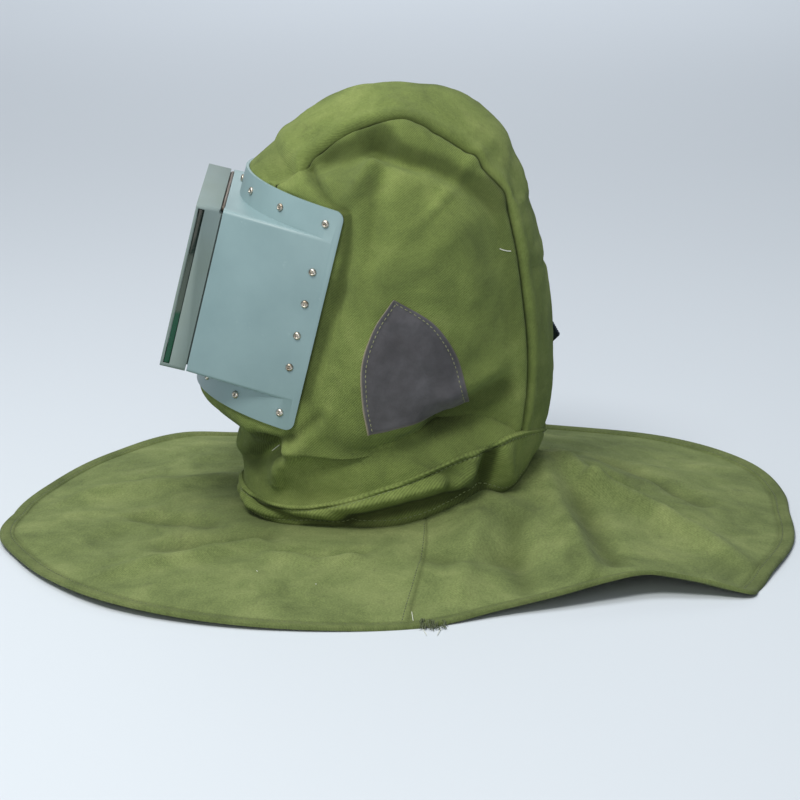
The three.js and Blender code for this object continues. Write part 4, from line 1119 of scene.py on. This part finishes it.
def stitch_run(name, path, surfaces, length, radius, rise, jitter=0.0):
    """Joined mesh of stitches along a path of points in mm, seated on the nearest surface."""
    draw = random.Random(name)
    points = [(p + HOOD_SHIFT) * MM for p in path]
    lengths = [0]
    for a, b in zip(points, points[1:]):
        lengths.append(lengths[-1] + (b - a).length)
    vertices, faces = [], []
    count = int(lengths[-1] / (STITCH_PITCH * MM))
    k = 0
    for n in range(count):
        at = (n + 0.5) * STITCH_PITCH * MM
        while lengths[k + 1] < at:
            k += 1
        share = (at - lengths[k]) / (lengths[k + 1] - lengths[k])
        spot = points[k].lerp(points[k + 1], share)
        hits = [tree.find_nearest(spot) for tree in surfaces]
        spot, normal = min(hits, key=lambda hit: hit[3])[:2]
        along = (points[k + 1] - points[k]).normalized()
        side = normal.cross(along).normalized()
        along = side.cross(normal)
        along = (along + side * draw.uniform(-jitter, jitter)).normalized()
        side = normal.cross(along)
        base = len(vertices)
        rings = ((-0.5, 0.15), (-0.42, 0.75), (0, 1), (0.42, 0.75), (0.5, 0.15))
        for at_length, size in rings:
            sunk = rise * (1 - (2 * at_length) ** 2) - radius * 0.35 / MM * MM
            for corner in range(6):
                a = corner * math.pi / 3
                vertices.append(
                    spot + along * at_length * length * MM
                    + side * math.cos(a) * radius * size * MM
                    + normal * (math.sin(a) * radius * size + sunk) * MM)
        for ring in range(4):
            for corner in range(6):
                a, b = base + ring * 6 + corner, base + ring * 6 + (corner + 1) % 6
                faces.append((a, b, b + 6, a + 6))
        faces.append([base + corner for corner in reversed(range(6))])
        faces.append([base + 24 + corner for corner in range(6)])
    mesh = bpy.data.meshes.new(name)
    mesh.from_pydata(vertices, [], faces)
    run = bpy.data.objects.new(name, mesh)
    bpy.context.scene.collection.objects.link(run)
    shell = bmesh.new()
    shell.from_mesh(mesh)
    bmesh.ops.recalc_face_normals(shell, faces=shell.faces)
    shell.to_mesh(mesh)
    shell.free()
    smooth(run, 70)
    return run


# Polyester thread: two plies twisted, so its tone changes along it
def sewing_thread(name, shade, dark_shade):
    material, tree, shader = new_material(name)
    place = add_node(tree, "ShaderNodeTexCoord").outputs["Object"]
    plies = add_node(tree, "ShaderNodeTexNoise", {"Scale": 1400, "Detail": 1}, {"Vector": place})
    tone = add_node(tree, "ShaderNodeValToRGB", links={"Fac": plies.outputs["Fac"]})
    set_ramp(tone, [(0.38, colour(dark_shade)), (0.6, colour(shade))])
    tree.links.new(tone.outputs["Color"], shader.inputs["Base Color"])
    shader.inputs["Roughness"].default_value = 0.6
    shader.inputs["Sheen Weight"].default_value = 0.2
    return material


green_thread = sewing_thread("polyester thread, green", "#8d9c66", "#5e6b3c")
dark_thread = sewing_thread("polyester thread, dark green", "#4d5a30", "#333d1f")
pale_thread = sewing_thread("polyester thread, beige green", "#93966f", "#6d7050")

band_surface = surface_of(band)
cape_surfaces = [surface_of(capes["front"]), surface_of(capes["back"])]
runs = []


def add_run(name, path, surfaces, thread, length=2.9, radius=0.42, rise=0.3, jitter=0.05):
    run = stitch_run(name, path, surfaces, length, radius, rise, jitter)
    finish_piece(run, "hood", thread)
    runs.append(run)
    return run


def band_path(below_top=None, above_bottom=None):
    path = []
    for i in range(721):
        turn = i / 2
        outward = Vector((math.sin(math.radians(turn)), -math.cos(math.radians(turn)), 0))
        height = (band_top(turn) - band_bottom(turn)).length
        down = below_top / height if below_top else 1 - above_bottom / height
        path.append(band_point(turn, down) + outward * CANVAS_WALL / 2)
    return path


add_run("stitches_band_top", band_path(below_top=4.2), [band_surface], green_thread)
add_run("stitches_band_bottom", band_path(above_bottom=4.6), [band_surface], green_thread)


def cape_path(from_turn, to_turn, out):
    path = []
    for i in range(721):
        turn = mix(from_turn, to_turn, i / 720)
        p = cape_point(turn, out)
        path.append(Vector((p.x, p.y, max(p.z, 0) + 0.05 + hem_wall(out))))
    return path


hem_stitch_out = HEM_SHARE + 0.24 * (1 - HEM_SHARE)
for half_name, from_turn, to_turn in (
        ("front", -CAPE_SEAM_TURN, CAPE_SEAM_TURN), ("back", CAPE_SEAM_TURN, 360 - CAPE_SEAM_TURN)):
    add_run(f"stitches_hem_{half_name}", cape_path(from_turn, to_turn, hem_stitch_out),
            cape_surfaces, dark_thread)
for side_name, turn in (("left", CAPE_SEAM_TURN - 0.9), ("right", 360 - CAPE_SEAM_TURN + 0.9)):
    seam_path = []
    for i in range(121):
        out = mix(0.06, 0.985, i / 120)
        p = cape_point(turn, out)
        seam_path.append(Vector((p.x, p.y, max(p.z, 0) + CANVAS_WALL)))
    add_run(f"stitches_cape_{side_name}", seam_path, cape_surfaces, dark_thread)

# Ear patches: grey split leather, pointed at the top, sewn along both curved sides over the
# ears. The cut edge is pale and the slanted foot is left raw.
PATCH_HEIGHT = 114
PATCH_WIDTH = 90
PATCH_FORWARD = 35
PATCH_BOTTOM = 104
PATCH_WALL = 1.5
PATCH_OUTLINE = [
    {"up": 0.00, "front_y": 0.10, "front_z": -0.01, "rear_y": 1.01, "rear_z": 0.165},
    {"up": 0.25, "front_y": 0.05, "front_z": 0.23, "rear_y": 0.965, "rear_z": 0.34},
    {"up": 0.50, "front_y": 0.05, "front_z": 0.51, "rear_y": 0.875, "rear_z": 0.57},
    {"up": 0.75, "front_y": 0.16, "front_z": 0.77, "rear_y": 0.68, "rear_z": 0.80},
    {"up": 1.00, "front_y": 0.33, "front_z": 0.975, "rear_y": 0.36, "rear_z": 0.965},
]


# Split leather: fibrous and matt, mottled between slate and grey, paler where it is cut, and palest on the front
# edge, where a painted highlight is added
def split_leather():
    material, tree, shader = new_material("split leather, slate grey")
    place = add_node(tree, "ShaderNodeTexCoord").outputs["Object"]
    cloud = add_node(
        tree, "ShaderNodeTexNoise", {"Scale": 26, "Detail": 8, "Roughness": 0.62}, {"Vector": place})
    tone = add_node(tree, "ShaderNodeValToRGB", links={"Fac": cloud.outputs["Fac"]})
    set_ramp(tone, [(0.32, colour("#3c3b3f")), (0.5, colour("#4a494e")), (0.7, colour("#5b5a60"))])
    mark = add_node(tree, "ShaderNodeAttribute", attribute_name="mark")
    cut_edge_and_highlight = add_node(
        tree, "ShaderNodeMix", {"B": colour("#a39a80")},
        {"Factor": mark.outputs["Fac"], "A": tone.outputs["Color"]}, data_type="RGBA")
    tree.links.new(cut_edge_and_highlight.outputs["Result"], shader.inputs["Base Color"])
    fibres = add_node(
        tree, "ShaderNodeTexNoise", {"Scale": 420, "Detail": 5, "Roughness": 0.7}, {"Vector": place})
    bump = add_node(
        tree, "ShaderNodeBump", {"Strength": 0.5, "Distance": 0.0006}, {"Height": fibres.outputs["Fac"]})
    tree.links.new(bump.outputs["Normal"], shader.inputs["Normal"])
    shader.inputs["Roughness"].default_value = 0.78
    shader.inputs["Sheen Weight"].default_value = 0.1
    return material


leather = split_leather()
PATCH_ROWS = 56
PATCH_COLUMNS = 44


def patch_yz(up, across):
    y = mix(along_table(PATCH_OUTLINE, "up", "front_y", up), along_table(PATCH_OUTLINE, "up", "rear_y", up), across)
    z = mix(along_table(PATCH_OUTLINE, "up", "front_z", up), along_table(PATCH_OUTLINE, "up", "rear_z", up), across)
    return y * PATCH_WIDTH - PATCH_FORWARD, z * PATCH_HEIGHT + PATCH_BOTTOM


def on_panel(tree, side, y, z):
    """Place and way out of a side panel's outer face, straight in from the side."""
    origin = (Vector((side * 400, y, z)) + HOOD_SHIFT) * MM
    hit = tree.ray_cast(origin, Vector((-side, 0, 0)))
    return hit[0] / MM - HOOD_SHIFT, hit[1]


for side, side_name in ((1, "left"), (-1, "right")):
    tree = surface_of(side_panels[side])
    outer, inner, marks = [], [], []
    for i in range(PATCH_ROWS + 1):
        outer_row, inner_row, mark_row = [], [], []
        for j in range(PATCH_COLUMNS + 1):
            up, across = i / PATCH_ROWS, j / PATCH_COLUMNS
            y, z = patch_yz(up, across)
            seat, normal = on_panel(tree, side, y, z)
            to_side = min(across, 1 - across) * PATCH_WIDTH * (1 - 0.9 * up)
            pressed = 0.55 * math.exp(-(((to_side - 4.2) / 1.6) ** 2))
            curl = 1.2 * ease(0.10, 0, up) * (0.5 + noise.noise(Vector((across * 5, 0, side))))
            edge = 0.5 * ease(1.0, 0, min(to_side, up * PATCH_HEIGHT))
            lifted = 0.3 + curl + 0.25 * noise.noise(seat / 9)
            outer_row.append(seat + normal * (PATCH_WALL + lifted - pressed - edge))
            inner_row.append(seat + normal * lifted)
            # The front edge is drawn much paler than the others: the pale cut edge with a painted highlight on it.
            mark_row.append(0.75 if j == 0 else 0.2 if min(i, PATCH_COLUMNS - j, PATCH_ROWS - i) < 1 else 0)
        outer.append(outer_row)
        inner.append(inner_row)
        marks.append(mark_row)
    patch = wall_piece(f"leather_patch_{side_name}", outer, inner, marks=marks)
    finish_piece(patch, "hood", leather)
    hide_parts(f"ear_patch_{side_name}")
    patch_surface = surface_of(patch)
    for edge_name, edge_across in (("front", 0), ("rear", 1)):
        path = []
        for i in range(81):
            up = mix(0.015, 0.985, i / 80)
            width = math.dist(patch_yz(up, 0), patch_yz(up, 1))
            inset = min(4.2 / width, 0.48)
            y, z = patch_yz(up, abs(edge_across - inset))
            seat, normal = on_panel(tree, side, y, z)
            path.append(seat + normal * PATCH_WALL)
        add_run(f"stitches_patch_{side_name}_{edge_name}", path, [patch_surface], pale_thread,
                length=2.6, radius=0.4, rise=0.35, jitter=0.08)

# Loose ends of thread that lie on the cloth: white ones, and a frayed tuft at the cape's seam
PANEL_STRANDS = [
    ((80, 247), (83, 245.5), (86, 244.5), (89, 244)),
    ((-99, 80), (-105, 72.5)),
]
CAPE_STRANDS = [
    ((261, 9), (278, 10)),
    ((287, 17), (303, 20)),
    ((289, 31), (303, 28)),
    ((189, -113), (191, -112)),
    ((219, -66), (219, -65)),
]


def tube(vertices, faces, line, radius):
    """Adds a closed six-sided tube along a line of points in m."""
    base = len(vertices)
    for k, spot in enumerate(line):
        along = (line[min(k + 1, len(line) - 1)] - line[max(k - 1, 0)]).normalized()
        side = along.cross(Vector((0.31, 0.27, 0.9))).normalized()
        over = side.cross(along)
        for corner in range(6):
            a = corner * math.pi / 3
            vertices.append(spot + (side * math.cos(a) + over * math.sin(a)) * radius * MM)
        if k:
            for corner in range(6):
                a, b = base + (k - 1) * 6 + corner, base + (k - 1) * 6 + (corner + 1) % 6
                faces.append((a, b, b + 6, a + 6))
    faces.append([base + corner for corner in reversed(range(6))])
    faces.append([base + (len(line) - 1) * 6 + corner for corner in range(6)])


def loose_threads(name, lines, radius, thread):
    vertices, faces = [], []
    for line in lines:
        tube(vertices, faces, line, radius)
    mesh = bpy.data.meshes.new(name)
    mesh.from_pydata(vertices, [], faces)
    threads = bpy.data.objects.new(name, mesh)
    bpy.context.scene.collection.objects.link(threads)
    shell = bmesh.new()
    shell.from_mesh(mesh)
    bmesh.ops.recalc_face_normals(shell, faces=shell.faces)
    shell.to_mesh(mesh)
    shell.free()
    smooth(threads, 70)
    finish_piece(threads, "hood", thread)


white_thread = sewing_thread("cotton thread, white", "#e9ece2", "#c9cec0")
panel_tree = surface_of(side_panels[1])
lines = []
for strand in PANEL_STRANDS:
    seats = [on_panel(panel_tree, 1, y, z) for y, z in strand]
    lines.append([(seat + normal * 0.55 + HOOD_SHIFT) * MM for seat, normal in seats])
loose_threads("loose_threads_panel", lines, 0.4, white_thread)


def on_cape(x, y, rise):
    """Point above the cape's top, in m."""
    spot = Vector((x, y, 0)) + HOOD_SHIFT
    hits = [tree.ray_cast(Vector((spot.x, spot.y, 200)) * MM, Vector((0, 0, -1))) for tree in cape_surfaces]
    z = max([hit[0].z for hit in hits if hit[0]] + [0.0005])
    return Vector((spot.x * MM, spot.y * MM, z + rise * MM))


lines = [[on_cape(x, y, 0.45) for x, y in strand] for strand in CAPE_STRANDS]
loose_threads("loose_threads_cape", lines, 0.28, white_thread)
draw = random.Random("tuft")
lines = []
for _ in range(46):
    x, y = 281 + draw.uniform(-3, 4), draw.uniform(16, 34)
    reach, lean = draw.uniform(3, 9), draw.uniform(-3, 3)
    lines.append([on_cape(x, y, 0.4), on_cape(x + reach * 0.5, y + lean * 0.4, draw.uniform(0.6, 3)),
                  on_cape(x + reach, y + lean, draw.uniform(0.4, 1.5))])
loose_threads("frayed_tuft", lines, 0.35, dark_thread)

# Back tab: the end of a navy webbing strap, sewn by its upper edge on the back of the strip.
TAB_TURN = math.radians(36)
TAB_SHARE = 0.83
TAB_ACROSS = -0.72
TAB_WIDTH = 25
TAB_REACH = 24
TAB_WALL = 1.6


# Polypropylene webbing: stout cross ribs with a slight plastic gleam
def ribbed_webbing():
    material, tree, shader = new_material("polypropylene webbing, navy")
    place = add_node(tree, "ShaderNodeTexCoord").outputs["Object"]
    fuzz = add_node(tree, "ShaderNodeTexNoise", {"Scale": 500, "Detail": 3}, {"Vector": place})
    tone = add_node(tree, "ShaderNodeValToRGB", links={"Fac": fuzz.outputs["Fac"]})
    set_ramp(tone, [(0.35, colour("#141d2b")), (0.65, colour("#2c3c52"))])
    tree.links.new(tone.outputs["Color"], shader.inputs["Base Color"])
    shader.inputs["Roughness"].default_value = 0.62
    return material


seat = strip_point(TAB_SHARE, TAB_ACROSS)
tab_outward = (strip_outward(TAB_SHARE) + Vector((-0.55, 0, 0))).normalized()
tab_down = Vector((0, 0, -1))
tab_across = tab_down.cross(tab_outward).normalized()
tab_root = seat + tab_outward * (CANVAS_WALL / 2 + TAB_WALL / 2 + 0.2)
TAB_RIB = 2.0
tab_grid = []
for i in range(49):
    out = i / 48
    lean = math.sin(TAB_TURN) * TAB_REACH * out + 0.35 * math.sin(2 * math.pi * out * TAB_REACH / TAB_RIB)
    tab_grid.append([
        tab_root + tab_outward * lean
        + tab_down * (TAB_REACH * out - (j / 16 - 0.5) * TAB_WIDTH * math.sin(TAB_TURN))
        + tab_across * (j / 16 - 0.5) * TAB_WIDTH * math.cos(TAB_TURN)
        for j in range(17)])
tab = cloth_piece("webbing_tab", tab_grid, TAB_WALL)
finish_piece(tab, "hood", ribbed_webbing())
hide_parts("back_tab")

# Hinge pin: dull steel wire in a groove across the top of the housing's front edge.
PIN_CHAMFER = 0.3


# Dull drawn steel: fine marks along the wire and a brown bloom of old rust
def drawn_steel():
    material, tree, shader = new_material("drawn steel wire, dull")
    place = add_node(tree, "ShaderNodeTexCoord").outputs["Object"]
    stretched = add_node(tree, "ShaderNodeMapping", {"Scale": (40, 900, 900)}, {"Vector": place})
    drawn = add_node(tree, "ShaderNodeTexNoise", {"Scale": 1, "Detail": 3}, {"Vector": stretched.outputs["Vector"]})
    tone = add_node(tree, "ShaderNodeValToRGB", links={"Fac": drawn.outputs["Fac"]})
    set_ramp(tone, [(0.35, colour("#6d5f50")), (0.65, colour("#8b847b"))])
    tree.links.new(tone.outputs["Color"], shader.inputs["Base Color"])
    shader.inputs["Metallic"].default_value = 1
    shader.inputs["Roughness"].default_value = 0.45
    return material


pin = pin_shape("steel_hinge_pin", PIN_RADIUS, PIN_LENGTH)
modified(
    pin, "BEVEL", width=PIN_CHAMFER * MM, segments=2, limit_method="ANGLE", angle_limit=math.radians(50))
pin.data.transform(visor_matrix)
smooth(pin, 40)
finish_piece(pin, "hood", drawn_steel())
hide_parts("hinge_pin")

# Lens frame: a moulded grey ABS front that flips up about the hinge pin. A slot right
# through both its sides takes the filter glass, and a low plug behind shuts out the dust.
FRAME_DEPTH = 20.8
FRAME_RIM = 2.2
FRAME_BORDER = 14
SLOT_WIDTH = 5.2
SLOT_END_WALL = 3.4
PIN_SWING = 0.95
FRAME_CORNER = 2.5
FRAME_MIDDLE = -FRAME_GAP - FRAME_DEPTH / 2
SLOT_NEAR = -FRAME_GAP - FRAME_DEPTH + FRAME_RIM


def round_corners(piece, radius, segments):
    """Rounds the box's four edges that run back along r."""
    bpy.context.view_layer.objects.active = piece
    bpy.ops.object.mode_set(mode="EDIT")
    bpy.ops.mesh.select_mode(type="EDGE")
    bpy.ops.mesh.select_all(action="DESELECT")
    bpy.ops.object.mode_set(mode="OBJECT")
    for edge in piece.data.edges:
        ends = [piece.data.vertices[v].co for v in edge.vertices]
        edge.select = abs(ends[0].x - ends[1].x) + abs(ends[0].z - ends[1].z) < 1e-6
    bpy.ops.object.mode_set(mode="EDIT")
    bpy.ops.mesh.bevel(offset=radius * MM, segments=segments, profile=0.5)
    bpy.ops.object.mode_set(mode="OBJECT")


lens_frame = add_box(
    "moulded_lens_frame", HOUSING_FRONT, FRAME_DEPTH, HOUSING_HEIGHT, (0, FRAME_MIDDLE, 0))
round_corners(lens_frame, FRAME_CORNER, 5)
cut(lens_frame, add_box("dust_plug", 163, 3.2, 127, (0, 0, 0)), "UNION")
window = add_box(
    "window", HOUSING_FRONT - 2 * FRAME_BORDER, FRAME_DEPTH + 6, HOUSING_HEIGHT - 2 * FRAME_BORDER,
    (0, FRAME_MIDDLE, 0))
round_corners(window, 3, 5)
cut(lens_frame, window)
cut(lens_frame, add_box(
    "slot", HOUSING_FRONT + 10, SLOT_WIDTH, HOUSING_HEIGHT - 2 * SLOT_END_WALL,
    (0, SLOT_NEAR + SLOT_WIDTH / 2, 0)))
cut(lens_frame, pin_shape("frame_groove", PIN_RADIUS + PIN_SWING, 4 * HOUSING_FRONT))
modified(
    lens_frame, "BEVEL", width=0.7 * MM, segments=3, limit_method="ANGLE",
    angle_limit=math.radians(40), harden_normals=True)
lens_frame.data.transform(visor_matrix)
smooth(lens_frame, 35)
frame_plastic = moulded_plastic("moulded ABS, warm grey", "#7b8c8c", "#74847f", "#98a7a8", 0.55)
finish_piece(lens_frame, "lens_flap", frame_plastic)
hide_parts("lens_frame")

# Filter glass: dark green welding glass, polished, with dust in its slot.
GLASS_CLEARANCE = 0.4
GLASS_INSET = 0.6


# Dark green glass: almost black in the mass, with saturated green where light comes through painted as a band low on
# the pane, and a painted grey reflection in a band across its middle
def green_glass():
    material, tree, shader = new_material("filter glass, dark green")
    place = add_node(tree, "ShaderNodeTexCoord").outputs["Object"]
    dust = add_node(tree, "ShaderNodeTexNoise", {"Scale": 120, "Detail": 8, "Roughness": 0.8}, {"Vector": place})
    rough = add_node(
        tree, "ShaderNodeMapRange", {"From Min": 0.45, "From Max": 0.75, "To Min": 0.06, "To Max": 0.5},
        {"Value": dust.outputs["Fac"]})
    tree.links.new(rough.outputs["Result"], shader.inputs["Roughness"])
    height = add_node(tree, "ShaderNodeSeparateXYZ", links={"Vector": place})
    light_band = add_node(
        tree, "ShaderNodeMapRange", {"From Min": 0.15, "From Max": 0.28}, {"Value": height.outputs["Z"]})
    tone = add_node(tree, "ShaderNodeValToRGB", links={"Fac": light_band.outputs["Result"]})
    # By height: painted light coming through, a painted grey reflection, and the dark glass at the top.
    set_ramp(tone, [(0.0, colour("#0f5338")), (0.36, colour("#0d4a33")), (0.385, colour("#4d5a50")),
                    (0.725, colour("#454f48")), (0.75, colour("#0f241c")), (1.0, colour("#0b1a14"))])
    tree.links.new(tone.outputs["Color"], shader.inputs["Base Color"])
    shader.inputs["IOR"].default_value = 1.52
    shader.inputs["Specular IOR Level"].default_value = 0.3
    shader.inputs["Transmission Weight"].default_value = 0.15
    return material


glass = add_box(
    "filter_glass_pane", HOUSING_FRONT - 2 * GLASS_INSET, SLOT_WIDTH - 2 * GLASS_CLEARANCE,
    HOUSING_HEIGHT - 2 * (SLOT_END_WALL + GLASS_CLEARANCE), (0, SLOT_NEAR + SLOT_WIDTH / 2, 0))
modified(glass, "BEVEL", width=0.5 * MM, segments=2)
glass.data.transform(visor_matrix)
smooth(glass, 35)
finish_piece(glass, "lens_flap", green_glass())
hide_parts("lens_glass")

# Floor: a plain pale studio table, and the light of a large soft box from the front left
bpy.ops.object.select_all(action="DESELECT")
bpy.ops.mesh.primitive_circle_add(vertices=96, radius=9, fill_type="NGON")
floor = start_piece("studio_floor")
floor_material, floor_tree, floor_shader = new_material("matt painted board, pale blue grey")
floor_place = add_node(floor_tree, "ShaderNodeTexCoord").outputs["Object"]
floor_tone = add_node(floor_tree, "ShaderNodeTexNoise", {"Scale": 0.6}, {"Vector": floor_place})
floor_ramp = add_node(floor_tree, "ShaderNodeValToRGB", links={"Fac": floor_tone.outputs["Fac"]})
set_ramp(floor_ramp, [(0, colour("#c8d0d9")), (1, colour("#d0d8e0"))])
floor_tree.links.new(floor_ramp.outputs["Color"], floor_shader.inputs["Base Color"])
floor_shader.inputs["Roughness"].default_value = 0.8
floor.data.materials.append(floor_material)

scene = bpy.context.scene
scene.view_settings.view_transform = "Standard"
world = bpy.data.worlds.new("studio")
world.use_nodes = True
world.node_tree.nodes["Background"].inputs["Color"].default_value = colour("#dfe6ee")
world.node_tree.nodes["Background"].inputs["Strength"].default_value = 0.34
scene.world = world


def soft_box(name, place, target, size, power, shade):
    light = bpy.data.lights.new(name, "AREA")
    light.shape = "SQUARE"
    light.size = size
    light.energy = power
    light.color = colour(shade)[:3]
    lamp = bpy.data.objects.new(name, light)
    lamp.location = place
    lamp.rotation_euler = (Vector(target) - Vector(place)).to_track_quat("-Z", "Y").to_euler()
    scene.collection.objects.link(lamp)


soft_box("key", (1.25, -0.65, 2.2), (0, 0, 0.15), 0.8, 40, "#fffcf5")
soft_box("overhead", (-0.4, 0.1, 2.4), (0, 0, 0), 1.2, 15, "#ffffff")
soft_box("front", (-0.1, -1.2, 2.3), (0, -0.55, 0), 1.0, 13, "#ffffff")
soft_box("fill", (2.5, -0.3, 0.8), (0, 0, 0.2), 1.2, 11, "#fffbf2")
soft_box("backdrop", (-3.7, 0, 1.7), (-3.7, 0, 0), 2.2, 31, "#ffffff")

# Camera: from the wearer's left, 15 degrees above the floor
AIM = Vector((0, 0, 102)) + HOOD_SHIFT
CAMERA_DISTANCE = 2622
CAMERA_ELEVATION = math.radians(15.2)
camera_data = bpy.data.cameras.new("camera")
camera_data.lens = 140.8
camera_data.sensor_width = 36
camera = bpy.data.objects.new("camera", camera_data)
back = Vector((math.cos(CAMERA_ELEVATION), 0, math.sin(CAMERA_ELEVATION)))
camera.location = (AIM + back * CAMERA_DISTANCE) * MM
camera.rotation_euler = back.to_track_quat("Z", "Y").to_euler()
scene.collection.objects.link(camera)
scene.camera = camera
